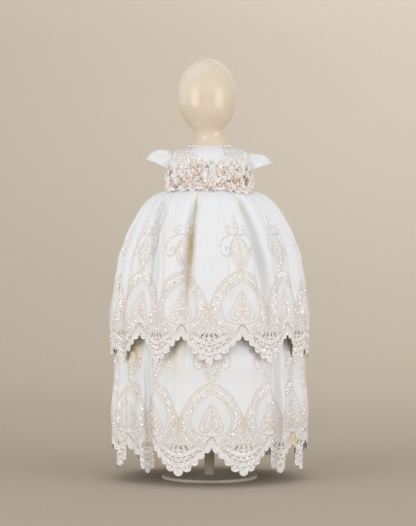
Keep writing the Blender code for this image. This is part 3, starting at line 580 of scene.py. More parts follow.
for mark, colour, blend in (
    ("Red", "#ddd0c7", "MIX"), ("Green", "#b5a08c", "MIX"), ("Blue", "#f5e5b9", "MULTIPLY"),
):
    mixed = add(tree, "Mix", {"data_type": "RGBA", "blend_type": blend, 7: linear(colour)},
                _0=split.outputs[mark], _6=mixed.outputs[2])
tree.links.new(mixed.outputs[2], shader.inputs["Base Color"])
rough = add(tree, "MapRange", {"To Min": 0.48, "To Max": 0.62}, Value=marks.outputs["Alpha"])
tree.links.new(rough.outputs[0], shader.inputs["Roughness"])
weave = add(tree, "TexWave", {"Scale": 260.0, "Distortion": 0.4, "bands_direction": "DIAGONAL"},
            Vector=cloth_uv.outputs[0])
bump = add(tree, "Bump", {"Strength": 0.06, "Distance": 0.0002}, Height=weave.outputs[0])
grain = add(tree, "Bump", {"Strength": 0.05, "Distance": 0.0003},
            Height=slub_noise.outputs[0], Normal=bump.outputs[0])
tree.links.new(grain.outputs[0], shader.inputs["Normal"])


# ---------------------------------------------------------------- the skirts
# Two gathered tiers of satin, the lower one longer and mostly hidden, each a front and a back joined at
# the side seams and hung from the waist seam. Pressed folds fan out of the gathers, and the lace hems
# are cut to their scallops.
WAIST_Z, SEAM = 632.0, 0.3
UPPER_TIP_Z, LOWER_TIP_Z = 262.0, 24.0
# outline of a tier: height, half width, half depth
UPPER_OUTLINE = [
    (250, 216, 187), (289, 217, 187), (316, 219, 188), (355, 219, 188), (382, 216, 186), (408, 211, 181),
    (434, 208, 179), (461, 203, 175), (487, 199, 171), (514, 189, 162), (540, 180, 154), (566, 166, 142),
    (593, 150, 128), (606, 139, 119), (619, 123, 105), (627, 108, 92), (631.7, 93.2, 79.2),
]
LOWER_OUTLINE = [
    (0, 212, 182), (78, 214, 184), (104, 214, 184), (144, 216, 185), (184, 213, 183), (230, 209, 179),
    (252, 209, 179), (276, 206, 176), (304, 200, 171), (340, 188, 162), (400, 163, 139), (470, 136, 116),
    (530, 112, 95), (590, 97, 82), (631.7, 91.4, 77.4),
]
# main folds: place in the cloth, bearing at the hem and at the waist, depth at the hem, middle and top,
# half width
UPPER_FOLDS = [
    (-5.5, -164, -163, 20, 22, 18, 15), (-4.8, -143, -144, 24, 26, 20, 15),
    (-4.1, -121, -122, 18, 24, 22, 14), (-3.4, -101, -102, 22, 22, 18, 15),
    (-2.6, -78, -80, 18, 16, 12, 14), (-2.0, -62, -61, 8, 10, 8, 12), (-1.4, -41, -46, 13, 4, 2, 10),
    (-1.0, -33, -50, 7, 24, 20, 13), (-0.4, -13, -12, 5, 25, 21, 10), (0.1, 3, 1, 3, 5, 4, 12),
    (0.9, 34, 28, 5, 26, 22, 13), (1.4, 48, 50, 6, 10, 8, 13), (1.9, 62, 64, 16, 9, 8, 12),
    (2.6, 80, 79, 18, 18, 12, 14), (3.4, 101, 102, 24, 24, 18, 15), (4.0, 119, 121, 18, 26, 22, 14),
    (4.7, 141, 142, 24, 22, 18, 15), (5.4, 162, 161, 20, 26, 20, 15),
]
LOWER_FOLDS = [
    (-5.5, -164, -164, 24, 22, 24, 15), (-4.8, -143, -143, 20, 20, 26, 15),
    (-4.1, -121, -121, 26, 24, 22, 14), (-3.4, -101, -101, 20, 22, 24, 15),
    (-2.7, -79, -79, 16, 18, 18, 14), (-2.2, -63, -61, 12, 14, 9, 12), (-1.8, -48.5, -46, 15, 15, 7, 9),
    (-1.3, -39.5, -40, 30, 28, 9, 11), (-0.7, -26, -22, 4, 8, 7, 11), (0.0, 1.2, 1.2, 0, 0, 3, 10),
    (0.8, 31, 31, 8, 6, 5, 12), (1.3, 43.5, 43, 25, 22, 8, 11), (1.8, 55.5, 57, 18, 18, 8, 11),
    (2.3, 68, 60, 15, 14, 9, 12), (2.8, 82, 78, 18, 18, 18, 14), (3.4, 101, 101, 22, 20, 24, 15),
    (4.0, 119, 119, 24, 24, 22, 14), (4.7, 141, 141, 18, 18, 24, 15), (5.4, 162, 162, 26, 24, 22, 15),
]
# share of a fold's hem, middle and top depth at each height
UPPER_FADE = [
    (262, 1, 0, 0), (370, 0.55, 0.4, 0), (490, 0, 1, 0), (590, 0, 0, 1), (622, 0, 0, 0.25),
    (631.7, 0, 0, 0),
]
LOWER_FADE = [
    (24, 1, 0, 0), (150, 0, 1, 0), (300, 0, 0, 1), (350, 0, 0, 0.4), (400, 0, 0, 0), (631.7, 0, 0, 0),
]
# soft creases between the folds: cloth, its drift up to the waist, lowest and highest height, rise (+) or
# sink (-), half width
UPPER_CREASES = [
    (-0.72, 0.10, 380, 630, 3.3, 9), (-0.18, 0.06, 330, 628, 2.7, 8), (0.33, -0.06, 400, 630, 3.0, 9),
    (0.58, -0.02, 300, 600, -2.4, 7), (0.74, 0.05, 430, 630, 2.7, 7), (-0.55, 0.00, 290, 520, -2.1, 6),
    (1.15, -0.10, 400, 630, 3.0, 9), (1.62, -0.08, 350, 620, -2.7, 8), (2.25, -0.06, 380, 625, 3.3, 10),
    (-1.25, 0.10, 360, 620, -2.7, 8), (-1.75, 0.08, 390, 628, 3.3, 9), (-2.3, 0.05, 340, 610, -3.0, 9),
    (3.05, 0.0, 350, 620, 3.0, 10), (3.75, 0.0, 330, 610, -2.7, 8), (4.35, 0.0, 380, 625, 3.3, 9),
    (5.05, 0.02, 340, 600, -3.0, 9), (5.7, 0.02, 390, 628, 3.0, 9), (6.35, 0.0, 360, 615, -2.7, 8),
    (6.95, 0.0, 350, 626, 3.3, 10), (7.6, 0.0, 340, 600, -3.0, 8), (8.2, 0.0, 380, 620, 3.0, 9),
    (8.8, 0.0, 330, 610, -2.4, 8),
]
LOWER_CREASES = [
    (-1.05, 0.0, 60, 330, 2.0, 7), (-1.5, 0.0, 40, 330, -1.8, 6), (-0.42, 0.02, 120, 330, -1.6, 6),
    (0.3, 0.0, 90, 330, 1.2, 10), (0.55, 0.0, 40, 250, -1.2, 6), (1.05, 0.0, 60, 330, 2.0, 7),
    (1.55, 0.0, 30, 330, -1.8, 6), (2.05, 0.0, 50, 330, 1.8, 7), (2.55, 0.0, 30, 330, -1.6, 7),
    (-2.0, 0.0, 60, 330, 1.8, 7), (-2.45, 0.0, 20, 330, -1.8, 7), (-0.9, 0.0, 30, 200, -1.2, 6),
    (3.1, 0.0, 40, 330, 2.0, 9), (3.7, 0.0, 30, 330, -1.8, 8), (4.35, 0.0, 60, 330, 2.2, 9),
    (5.05, 0.0, 20, 330, -1.8, 8), (5.75, 0.0, 50, 330, 1.8, 9), (6.4, 0.0, 30, 330, -1.8, 8),
    (7.0, 0.0, 60, 330, 2.0, 9), (7.65, 0.0, 20, 330, -1.8, 8), (8.25, 0.0, 50, 330, 2.0, 9),
    (8.75, 0.0, 30, 330, -1.6, 8),
]
HALF_ROUND = REPEATS // 2
CLOTH_STEPS, LEVEL_STEP = 200, 2.0  # places in a repeat of the cloth, and the distance between two levels


def off_place(cloth, place):
    """How far places in the cloth are from one of them, the shorter way round, in repeats."""
    return (cloth - place + HALF_ROUND) % REPEATS - HALF_ROUND


class Tier:
    """A gathered tier of skirt: gives places of the cloth at cloth coordinates and heights."""

    def __init__(self, outline, folds, fade, swing, tip_z, first_tip, creases):
        self.tip_z, self.first_tip, self.creases = tip_z, first_tip, creases
        self.heights = np.arange(tip_z - 6, WAIST_Z + 1, LEVEL_STEP)
        levels = [self.level(z, outline, folds, fade, swing) for z in self.heights]
        self.table = np.moveaxis(np.array(levels), 1, -1)

    def level(self, z, outline, folds, fade, swing):
        """x, y and the fold's depth at every place of the cloth at one height. The folds turn from their
        bearing at the hem to the one at the waist by a power, swing, of the height."""
        bearing = np.radians(np.linspace(-180, 180, 1441))
        a, b = smooth(outline, 1, z), smooth(outline, 2, z)
        shares = [smooth(fade, k, z) for k in (1, 2, 3)]
        rise = np.clip((z - fade[0][0]) / (fade[-1][0] - fade[0][0]), 0, 1)
        sink, bottoms = np.zeros_like(bearing), []
        for _, hem, waist, *depths, half in folds:
            middle = math.radians(hem + (waist - hem) * rise**swing)
            reach = half * (1.25 - 0.5 * rise) / ((a + b) / 2)
            off = (bearing - middle + math.pi) % (2 * math.pi) - math.pi
            near = np.clip(1 - np.abs(off) / (1.9 * reach), 0, 1)
            sink += sum(share * d for share, d in zip(shares, depths)) * near * near * (3 - 2 * near)
            bottoms.append(middle)
        out = np.stack([np.sin(bearing) / a, -np.cos(bearing) / b])
        out = out / np.linalg.norm(out, axis=0) * sink
        x, y = np.stack([a * np.sin(bearing), -b * np.cos(bearing)]) - out
        ring = np.stack([x, y, sink], axis=1)
        # the cloth is spread along the ring's own length between the bottoms of the folds
        run = run_of(ring)
        places, at = column(folds, 0), np.interp(bottoms, bearing, run)
        places = [places[-1] - REPEATS, *places, places[0] + REPEATS]
        cloth = np.interp(run, [at[-1] - run[-1], *at, at[0] + run[-1]], places)
        cloth = np.concatenate([cloth - REPEATS, cloth[1:-1], cloth + REPEATS])
        thrice = np.concatenate([ring, ring[1:-1], ring])
        wanted = np.linspace(-HALF_ROUND, HALF_ROUND, REPEATS * CLOTH_STEPS + 1)
        return [np.interp(wanted, cloth, thrice[:, k]) for k in range(3)]

    def hang(self, cloth, z):
        """Places before creases and relief, with the fold's depth as a fourth value."""
        levels, places = (z - self.heights[0]) / LEVEL_STEP, (cloth + HALF_ROUND) % REPEATS * CLOTH_STEPS
        x, y, sink = np.moveaxis(between(self.table, levels, places), -1, 0)
        return np.stack([x, y, z, sink], axis=-1)

    def crease(self, cloth, z):
        """Height of the soft creases, and of the small gathers under the waist seam."""
        total = np.zeros(np.shape(cloth))
        for number, (place, drift, low, high, height, half) in enumerate(self.creases):
            span = np.clip((z - low) / (high - low), 0, 1)
            window = np.sin(np.pi * span) ** 0.8
            middle = place + drift * span + 0.02 * np.sin(5 * span + number)
            reach = half * (0.8 + 0.5 * np.sin(3 * span + 2 * number) ** 2)
            total += height * window * np.exp(-(off_place(cloth, middle) * REPEAT / reach) ** 2)
        near_waist = np.clip((z - 560) / 62, 0, 1) * np.clip((WAIST_Z - 1 - z) / 8, 0, 1)
        gathers = np.sin(2 * np.pi * cloth * 8.3) + 0.6 * np.sin(2 * np.pi * cloth * 13.1 + 1)
        return total + 0.35 * near_waist * gathers

    def place(self, cloth, z, lift=0.0):
        """Places on the finished surface, moved out by lift, and the unit normals there."""
        def whole(c, h):
            return self.hang(c, h)[..., :3]
        n = outward(whole, cloth, z, 0.01, 1.5)
        return whole(cloth, z) + n * (self.crease(cloth, z) + lift)[..., None], n

    def from_tip(self, cloth):
        """Distance of places in the cloth from the nearest scallop's tip, and the side of it they are on."""
        past = (cloth - self.first_tip + 0.5) % 1 - 0.5
        return np.abs(past) * REPEAT, np.where(past < 0, -1.0, 1.0)


upper = Tier(UPPER_OUTLINE, UPPER_FOLDS, UPPER_FADE, 4.0, UPPER_TIP_Z, -6.0, UPPER_CREASES)
lower = Tier(LOWER_OUTLINE, LOWER_FOLDS, LOWER_FADE, 1.0, LOWER_TIP_Z, -6.5, LOWER_CREASES)
HALF_WALL = 0.7  # half the satin's thickness, from its middle to its outer face
CUT_TOP = 90  # the cut-outs of the lace are below this height over the tips


def hang_half(name, tier, start, columns, bands, painted_shade):
    """Half a tier, from one side seam to the other: bands are (height over the tip, rows up to it), and the
    patches of painted warm shade are (place in the cloth, height, half width, half height, strength)."""
    slack = SEAM / 2 / REPEAT
    across = np.linspace(start + slack, start + HALF_ROUND - slack, columns)
    x, side = tier.from_tip(across)
    rows, low = [hem_height(x)], hem_height(x)
    for height, count in bands:
        rows += [low + (height - low) * k / count for k in range(1, count + 1)]
        low = np.full_like(low, height)
    h = np.array(rows)
    x, side, cloth = (np.broadcast_to(values, h.shape) for values in (x, side, across))
    # points beside an opening of the lace move onto its edge, and the faces inside are cut out
    inside = open_work(x, h)
    gx = (open_work(x + 0.2, h) - open_work(x - 0.2, h)) / 0.4
    gh = (open_work(x, h + 0.2) - open_work(x, h - 0.2)) / 0.4
    size = np.maximum(np.hypot(gx, gh), 0.3)
    shift = np.where((np.abs(inside) < 0.8) & (h < CUT_TOP), inside / size, 0)
    cloth = cloth - side * shift * gx / size / REPEAT
    h = h - shift * gh / size
    x, _ = tier.from_tip(cloth)
    middle = (inside[:-1, :-1] + inside[1:, :-1] + inside[:-1, 1:] + inside[1:, 1:]) / 4
    drop = (middle > 0.12) & (h[:-1, :-1] < CUT_TOP)
    z = h + tier.tip_z
    relief, cord, shade, ground = lace_at(x, h)
    places, _ = tier.place(cloth, z, HALF_WALL + relief)
    # painted warm shade: a golden tint multiplied into the satin in folds deeper than 22 mm and in the
    # patches listed
    tint = np.clip((tier.hang(cloth, z)[..., 3] - 22) / 12, 0, 1) ** 1.3  # in folds deeper than 22 mm
    for place, height, wide, tall, strength in painted_shade:
        away = (off_place(cloth, place) * REPEAT / wide) ** 2 + ((z - height) / tall) ** 2
        tint = np.maximum(tint, strength * np.exp(-away))
    return lay(f"{name}_satin", places, lace_satin, "white_satin", [name], (cloth * REPEAT, z),
               (cord, shade, tint, ground), drop=drop)


UPPER_BANDS = [(96, 56), (320, 104), (WAIST_Z - SEAM - UPPER_TIP_Z, 24)]
LOWER_BANDS = [(96, 56), (332, 104), (WAIST_Z - SEAM - LOWER_TIP_Z, 12)]
# patches of painted warm shade: in the upper tier's deep folds, and on the lower tier in the notches under
# the upper hem and inside the hem behind
UPPER_PAINTED_SHADE = [
    (-0.41, 512, 9, 50, 1.0), (-0.4, 590, 4, 45, 0.9), (-0.42, 440, 6, 45, 0.6), (0.9, 600, 3.5, 45, 0.9),
    (-1.0, 602, 3.5, 45, 0.9),
]
LOWER_PAINTED_SHADE = [
    (-0.62, 300, 26, 60, 0.5), (-1.9, 292, 24, 36, 0.8), (2.3, 302, 32, 36, 1.0), (2.05, 84, 12, 32, 1.0),
]
# The flat sizes are half the tier's width at the hem, and the sloping length from the waist to the tips.
# The under-skirt's halves are cut flared, to 0.42 m at the waist.
for name, tier, bands, painted_shade, flat, area in (
    ("underskirt", lower, LOWER_BANDS, LOWER_PAINTED_SHADE, (0.71, 0.655), (0.71 + 0.42) / 2 * 0.625),
    ("overskirt", upper, UPPER_BANDS, UPPER_PAINTED_SHADE, (0.71, 0.43), 0.71 * 0.4),
):
    for half, start, columns in (("front", -3, 520), ("back", 3, 400)):
        made = hang_half(f"{name}_{half}", tier, start, columns, bands, painted_shade)


# ---------------------------------------------------------------- the bodice
# A satin front and two satin backs that close at the centre back, sewn to the skirts at the waist seam.
# The cloth is smooth over the form and pulls a little from the shoulders and the underarms.
ARM_FOOT, ARM_TOP = share_at(671.0), share_at(709.5)
ARM_REACH = 29.0  # degrees that an armhole takes, in front and behind


def side_reach(s):
    """Degrees that the armhole takes from a panel at s."""
    turn = np.arccos(np.clip(1 - 2 * (s - ARM_FOOT) / (ARM_TOP - ARM_FOOT), -1, 1))
    return ARM_REACH * np.sin(turn)


def front_panel(u, s):
    """Bearing on the front: u from the right side, -1, over the centre front to the left side, 1."""
    return u * (89.9 - side_reach(s))


def back_panel(side):
    """Bearing on a back: u from the centre back, 0, to the side, 1."""
    def bearing(u, s):
        return side * (179.88 + u * (side_reach(s) - 89.76))
    return bearing


def pulls(across, up, lines):
    """Height of soft creases: (height, half width, path) in millimetres across and up a panel."""
    total = np.zeros(across.shape)
    for height, half, path in lines:
        near = distance(eased(path), across, up) / half
        total += height * np.exp(-near * near)
    return total


def over_body(bearing, s, lift):
    """Places over the bodice, lifted from the middle of its satin."""
    return body(bearing, s) + off_body(bearing, s) * lift[..., None]


PANEL_WIDE = 134.0  # a quarter round the body at the waist
FRONT_PULLS = [
    (0.7, 5, [(-118, 30), (-80, 42), (-44, 46)]), (-0.5, 5, [(-112, 20), (-70, 30), (-30, 30)]),
    (0.7, 5, [(118, 30), (76, 44), (40, 50)]), (-0.5, 5, [(110, 18), (66, 30), (24, 34)]),
    (0.45, 4, [(-22, 118), (-10, 96), (-4, 70)]), (0.4, 4, [(24, 118), (14, 92), (10, 66)]),
    (-0.4, 5, [(2, 112), (4, 84), (2, 56)]),
]
BACK_PULLS = [
    (0.6, 5, [(112, 28), (74, 40), (36, 44)]), (-0.5, 5, [(104, 16), (60, 26), (16, 26)]),
    (0.5, 4, [(4, 96), (26, 84), (48, 80)]), (0.5, 4, [(4, 60), (26, 56), (52, 60)]),
    (-0.4, 4, [(4, 78), (30, 70), (54, 66)]),
]
for name, where, ends, lines, (wide, long, area) in (
    ("bodice_front", front_panel, (-1, 1), FRONT_PULLS, (0.268, 0.126, 0.0255)),
    ("bodice_back_right", back_panel(-1), (0, 1), BACK_PULLS, (0.134, 0.126, 0.0128)),
    ("bodice_back_left", back_panel(1), (1, 0), BACK_PULLS, (0.134, 0.126, 0.0128)),
):
    u, s = np.meshgrid(np.linspace(*ends, 101), np.linspace(0.001, 0.999, 61))
    across, up = u * PANEL_WIDE, s * BODICE_LENGTH
    places = over_body(where(u, s), s, HALF_WALL + pulls(across, up, lines))
    made = lay(f"{name}_satin", places, lace_satin, "white_satin", [name], (across, up), (0, 0, 0, 0))


# ---------------------------------------------------------------- the bodice's lace
# Four appliques of the same lace in a small floral pattern, worked on net and sewn over the shoulders,
# from the belt up to the neck binding. The centre front and the centre back stay plain.
LACE_FOOT, LACE_TOP = share_at(668.0), 1 - 6.9 / BODICE_LENGTH
TRIM_WALL = 1.2  # the thickness of lace, binding and ribbon
LACE_LIFT = HALF_WALL + 0.6 + 1.0  # its outer face over the middle of the satin
PLAIN_END = 0.975  # share of a panel where the lace ends, beside the armhole
LACE_SCALLOP = 4.4  # the scallops of the lace's edge are pi times this long
# flowers of the applique: across from the panel's middle line, up from the waist, radius, petals
SPRIGS = [
    (24, 46, 6.0, 5), (38, 50, 6.5, 6), (30, 62, 6.0, 5), (44, 66, 6.0, 5), (36, 78, 5.5, 5),
    (52, 44, 7.0, 5), (69, 50, 6.0, 5), (88, 42, 6.5, 6), (60, 62, 6.5, 6), (78, 66, 6.0, 5),
    (50, 78, 6.0, 5), (66, 82, 7.0, 6), (84, 84, 6.0, 5), (56, 97, 6.5, 5), (74, 100, 6.5, 6),
    (92, 100, 6.0, 5), (50, 112, 5.5, 5), (66, 114, 6.0, 5), (84, 114, 6.0, 5), (104, 44, 6.0, 5),
    (102, 112, 6.0, 5), (114, 104, 5.5, 5), (96, 60, 5.5, 5),
]
# stems between the flowers: across, up
STEMS = [
    [(46, 40), (56, 52), (58, 68), (50, 88), (54, 104), (62, 116)],
    [(64, 40), (70, 58), (78, 74), (74, 90), (80, 108)], [(84, 40), (88, 54), (94, 66)],
    [(46, 70), (56, 72), (66, 72), (72, 76)], [(48, 106), (60, 106), (74, 110), (92, 108), (108, 108)],
    [(98, 40), (100, 52), (104, 58)],
]


def floral_lace(x, h):
    """Relief, cord, shade and ground of the applique at x across and h up the panel."""
    relief, cord = np.full(x.shape, 0.1), np.zeros(x.shape)
    shapes = [(distance(eased(path), x, h), 0.9, 0.6) for path in STEMS]
    for number, (across, up, radius, petals) in enumerate(SPRIGS):
        r, turn = np.hypot(x - across, h - up), np.arctan2(h - up, x - across)
        rim = radius * (0.74 + 0.26 * np.abs(np.cos(petals * turn / 2 + number)))
        shapes += [(np.abs(r - rim), 0.9, 0.8), (np.abs(r - 0.5 * rim), 0.6, 0.4), (r, 1.4, 1.0)]
        relief = np.maximum(relief, 0.35 * (r < rim))
    for away, half, height in shapes:
        relief = np.maximum(relief, height * rounded(away, half))
        cord = np.maximum(cord, np.clip(1.3 * rounded(away, half), 0, 1))
    fine = crossed(x, h, 0.7, 3.6)
    return relief, 0.95 * cord, 0.12 * (1 - fine) ** 2 * (1 - cord), np.full(x.shape, 0.95)


def front_panel_right(u, s):
    """Bearing on the front, from the centre, 0, to the right side, 1."""
    return front_panel(-u, s)


# name, panel, order of its columns, how far its plain middle reaches at the foot and at the top
for name, where, order, low_in, high_in in (
    ("front_left", front_panel, 1, 0.12, 0.4), ("front_right", front_panel_right, -1, 0.22, 0.32),
    ("back_right", back_panel(-1), 1, 0.335, 0.335), ("back_left", back_panel(1), -1, 0.335, 0.335),
):
    share, s = np.meshgrid(np.linspace(0, 1, 105)[::order], np.linspace(LACE_FOOT, LACE_TOP, 95))
    # the scalloped edge beside the plain middle
    rise = (s - LACE_FOOT) / (LACE_TOP - LACE_FOOT)
    inner = low_in + (high_in - low_in) * rise - 0.018 * np.abs(np.sin(s * BODICE_LENGTH / LACE_SCALLOP))
    u = inner + (PLAIN_END - inner) * share
    bearing = where(u, s)
    from_middle = np.abs(bearing) if name.startswith("front") else 180 - np.abs(bearing)
    x, h = from_middle / 90 * PANEL_WIDE, s * BODICE_LENGTH
    relief, cord, shade, ground = floral_lace(x, h)
    edge = np.minimum((u - inner) * PANEL_WIDE, (s - LACE_FOOT) * BODICE_LENGTH)
    relief = np.maximum(relief, 0.8 * rounded(edge - 0.9, 1))
    # the net's edge lies down on the satin
    lift = HALF_WALL + 0.2 + (LACE_LIFT - HALF_WALL - 0.4) * np.clip(edge / 5, 0, 1) + relief
    made = lay(f"shoulder_lace_{name}", over_body(bearing, s, lift), lace_satin, "beaded_lace",
               [f"bodice_lace_{name}"], (x, h), (cord, shade, 0, ground))


# ---------------------------------------------------------------- the neck binding
# A narrow strip of the satin, folded over the neck's raw edge and stitched down, meeting at the centre
# back. Each stitch draws it in a little.

# White polyester satin cut on the bias: an even soft sheen, its twill drawn 1 mm apart so that it shows.
binding_satin, tree, shader = new_finish("white_bias_satin", "#f6f6f7", 0.46, Sheen_Weight=0.2)
where = add(tree, "UVMap", {"uv_map": "cloth"})
twill = add(tree, "TexWave", {"Scale": 420.0, "bands_direction": "DIAGONAL"}, Vector=where.outputs[0])
bump = add(tree, "Bump", {"Strength": 0.08, "Distance": 0.0002}, Height=twill.outputs[0])
tree.links.new(bump.outputs[0], shader.inputs["Normal"])

BINDING_WIDE = 6.6
BACK_END = 179.73  # the bearing where the binding's and the belt's ends meet
NECK_DEGREE = 0.8  # length of one degree round the neck
u, v = np.meshgrid(np.linspace(-BACK_END, BACK_END, 181), np.linspace(0, 1, 9))
lift = HALF_WALL + 0.5 + TRIM_WALL + 0.5 * np.sqrt(np.sin(np.pi * v))
lift += 0.12 * np.sin(np.radians(u) * 46 + 3 * v)  # the pull of each stitch
places = over_body(u, 1 - (1 - v) * BINDING_WIDE / BODICE_LENGTH, lift)
made = lay("neck_binding_satin", places, binding_satin, "white_binding", ["neck_binding"],
           (u * NECK_DEGREE, v * BINDING_WIDE))


# ---------------------------------------------------------------- the cap sleeves
# One satin cap over each armhole, narrow at its ends and standing out past the shoulder, where it droops
# to its hem. Soft folds run out from the seam, and a cord is rolled into the hem.
CAP_PROFILE = [(0.0, 0.0, 0.0), (0.3, 0.34, 2.5), (0.6, 0.64, 0.5), (0.82, 0.86, -7.0), (1.0, 1.0, -17.0)]
# folds: place from the front, -1, to the back, 1; rise or sink; half width as a share of the seam
CAP_FOLDS = [
    (-0.72, 2.0, 0.05), (-0.6, -3.0, 0.04), (-0.49, 3.2, 0.035), (-0.37, -3.2, 0.035), (-0.26, 3.0, 0.03),
    (-0.13, -3.2, 0.04), (-0.02, 2.6, 0.03), (0.1, -2.8, 0.035), (0.24, 3.0, 0.035), (0.37, -2.8, 0.04),
    (0.5, 2.8, 0.04), (0.63, -2.2, 0.045),
]
CAP_HEAD = 0.3  # share of the cap that bends in over the shoulder
CAP_LONG, CAP_WIDE = 70, 52  # half the hem's length, and the cap's width from the seam to the hem


def sleeve(side, reach, raised):
    """The surface of a cap: u along the seam from the front, -1, to the back, 1, and v out to the hem, 1;
    v below 0 is the head, which is bent in over the shoulder."""
    def seam(u, wider):
        """The armhole's edge, or a line that runs round it a little wider."""
        turn = np.pi * (1 - 0.66 * np.minimum(np.abs(u), 1))
        centre, half = (ARM_FOOT + ARM_TOP) / 2, (ARM_TOP - ARM_FOOT) / 2 - 1.6 / BODICE_LENGTH
        s = centre - half * np.cos(turn) * (1 + wider * (1 - 0.7 * u * u))
        bearing = ARM_REACH * np.sin(turn) * 0.945 * (1 + 0.6 * wider * (1 - 0.5 * u * u))
        return body(side * (90 + np.copysign(bearing, u)), s)

    def cap(u, v):
        """The cap without its head: its middle reaches out and droops, and its ends stay at the seam."""
        root = seam(u, 0.0)
        share = np.maximum(1 - np.abs(u) ** 1.7, 0)
        ahead = smooth(CAP_PROFILE, 1, v)
        up = smooth(CAP_PROFILE, 2, v) + raised * np.minimum(v / CAP_HEAD, 1)
        ripple = 1.3 * np.sin(np.pi * v**0.8) * np.sin(6 * np.pi * np.abs(u)) * share
        out = np.stack([side * (5 + (reach - 5) * share) * ahead, 0.12 * root[..., 1] * v,
                        up * (0.35 + 0.65 * share) + ripple], axis=-1)
        return root + out

    def where(u, v):
        # a curve from the shoulder under the lace, 0.9 mm over the satin, into the cap's own direction
        low = cap(u, np.full(u.shape, CAP_HEAD))
        lead = (cap(u, np.full(u.shape, CAP_HEAD + 0.02)) - low) / 0.02 * CAP_HEAD
        shoulder = seam(u, 0.4)
        radial = shoulder - [0, 0, 640]
        shoulder = shoulder + radial / np.linalg.norm(radial, axis=-1, keepdims=True) * 0.9
        share = np.clip((v + CAP_HEAD) / (2 * CAP_HEAD), 0, 1)[..., None]
        head = (1 - share) ** 2 * shoulder + 2 * share * (1 - share) * (low - lead) + share**2 * low
        return np.where(v[..., None] < CAP_HEAD, head, cap(u, np.maximum(v, CAP_HEAD)))
    return where


# name, side, how far it stands out, how much its middle is raised
for name, side, reach, raised in (("left", 1, 51.0, -2.5), ("right", -1, 54.0, 6.5)):
    where = sleeve(side, reach, raised)
    u, v = np.meshgrid(np.linspace(-0.998, 0.998, 121)[::-side], np.linspace(-CAP_HEAD, 1, 61))
    lift = np.full(u.shape, HALF_WALL)
    for place, height, half in CAP_FOLDS:
        middle = place * (1 + 0.1 * v) + 0.03 * np.sin(3 * v + 9 * place)
        window = np.sin(np.pi * np.clip((v + 0.2) / 1.15, 0, 1) ** 0.8) ** 0.8
        lift += height * window * np.exp(-(((u - middle) / half) ** 2))
    lift += 0.6 * rounded(v - 0.985, 0.018)  # the cord in the hem
    # the shoulder's lace runs out over the head in little scallops
    relief, cord, shade, ground = floral_lace(70 + u * 60, 80 + v * 52)
    laced = np.clip((0.06 + 0.07 * np.abs(np.sin(u * 22)) - v) / 0.02, 0, 1)
    lift += laced * (0.2 + relief)
    places = where(u, v) + outward(where, u, v, -0.01 * side, 0.01) * lift[..., None]
    made = lay(f"cap_sleeve_{name}_satin", places, lace_satin, "white_satin", [f"cap_sleeve_{name}"],
               (u * CAP_LONG, v * CAP_WIDE), (cord * laced, shade * laced, 0, ground * laced))


# ---------------------------------------------------------------- the belt's band
# A blush satin ribbon round the waist, laid in soft flat pleats, its ends drawn into the knot behind. The
# flowers hide most of it in front.

# Woven polyester satin ribbon: a sheen that runs with threads of 1 mm, coarser than real so that they show.
blush_ribbon, tree, shader = new_finish("blush_satin_ribbon", "#ead6ca", 0.36, Sheen_Weight=0.2)
where = add(tree, "UVMap", {"uv_map": "cloth"})
ribs = add(tree, "Mapping", {"Scale": (30, 900, 1)}, Vector=where.outputs[0])
thread = add(tree, "TexNoise", {"Scale": 1.0, "Detail": 3.0}, Vector=ribs.outputs[0])
tone = add(tree, "ValToRGB", {"stops": [(0.3, "#ebd8cd"), (0.7, "#f8eee8")]}, Fac=thread.outputs[0])
tree.links.new(tone.outputs[0], shader.inputs["Base Color"])
bump = add(tree, "Bump", {"Strength": 0.12, "Distance": 0.0002}, Height=thread.outputs[0])
tree.links.new(bump.outputs[0], shader.inputs["Normal"])

BELT_LIFT = HALF_WALL + SEAM + TRIM_WALL  # the ribbon's outer face over the middle of the satin
RIBBON_FOOT, RIBBON_WIDE = 634, 29
WAIST_DEGREE = 1.49  # length of one degree round the waist
u, v = np.meshgrid(np.linspace(-BACK_END, BACK_END, 241), np.linspace(0, 1, 25))
z, turn = RIBBON_FOOT + RIBBON_WIDE * v, np.radians(u)
pleat = 0.9 * np.abs(np.sin(np.pi * (3 * v + 0.10 * np.sin(3 * turn) + 0.06 * np.sin(7 * turn + 1)))) ** 0.7
pleat += 0.25 * np.sin(19 * turn + 5 * v) * np.sin(np.pi * v)
places = over_body(u, share_at(z), BELT_LIFT + pleat - 0.5)
made = lay("belt_ribbon", places, blush_ribbon, "blush_ribbon", ["belt_band"], (u * WAIST_DEGREE, z))


# ---------------------------------------------------------------- the belt's flowers
# Hand-made flowers of curled organza petals, ivory and blush, crowded over the front of the belt and sewn
# through it, with small ones and loose petals between them. Copper stamens stand in the open ones.
def new_petal_finish(name, base, middle, rim):
    """Polyester organza, matt with a faint bloom. Marks give the place from foot to rim in red, each petal's
    own tone in green and the nearness of its edge, which is rolled and tinted, in blue."""
    made, tree, shader = new_finish(name, rim, 0.5, Sheen_Weight=0.5, Sheen_Roughness=0.4)
    marks = add(tree, "Attribute", {"attribute_name": "marks"})
    split = add(tree, "SeparateColor", Color=marks.outputs["Color"])
    shade = add(tree, "ValToRGB", {"stops": [(0, base), (0.4, middle), (1, rim)]}, Fac=split.outputs["Red"])
    toned = add(tree, "Mix", {"data_type": "RGBA", "blend_type": "MULTIPLY", 7: linear("#faf4f0")},
                _0=split.outputs["Green"], _6=shade.outputs[0])
    edge = add(tree, "MapRange", {"From Min": 0.86, "From Max": 1.0, "To Max": 0.6},
               Value=split.outputs["Blue"])
    edged = add(tree, "Mix", {"data_type": "RGBA", 7: linear(base)}, _0=edge.outputs[0], _6=toned.outputs[2])
    tree.links.new(edged.outputs[2], shader.inputs["Base Color"])
    return made


ivory_organza = new_petal_finish("ivory_organza_petals", "#efd6c6", "#fefcfb", "#ffffff")
blush_organza = new_petal_finish("blush_organza_petals", "#e8c5b1", "#fbf1eb", "#fefbf9")


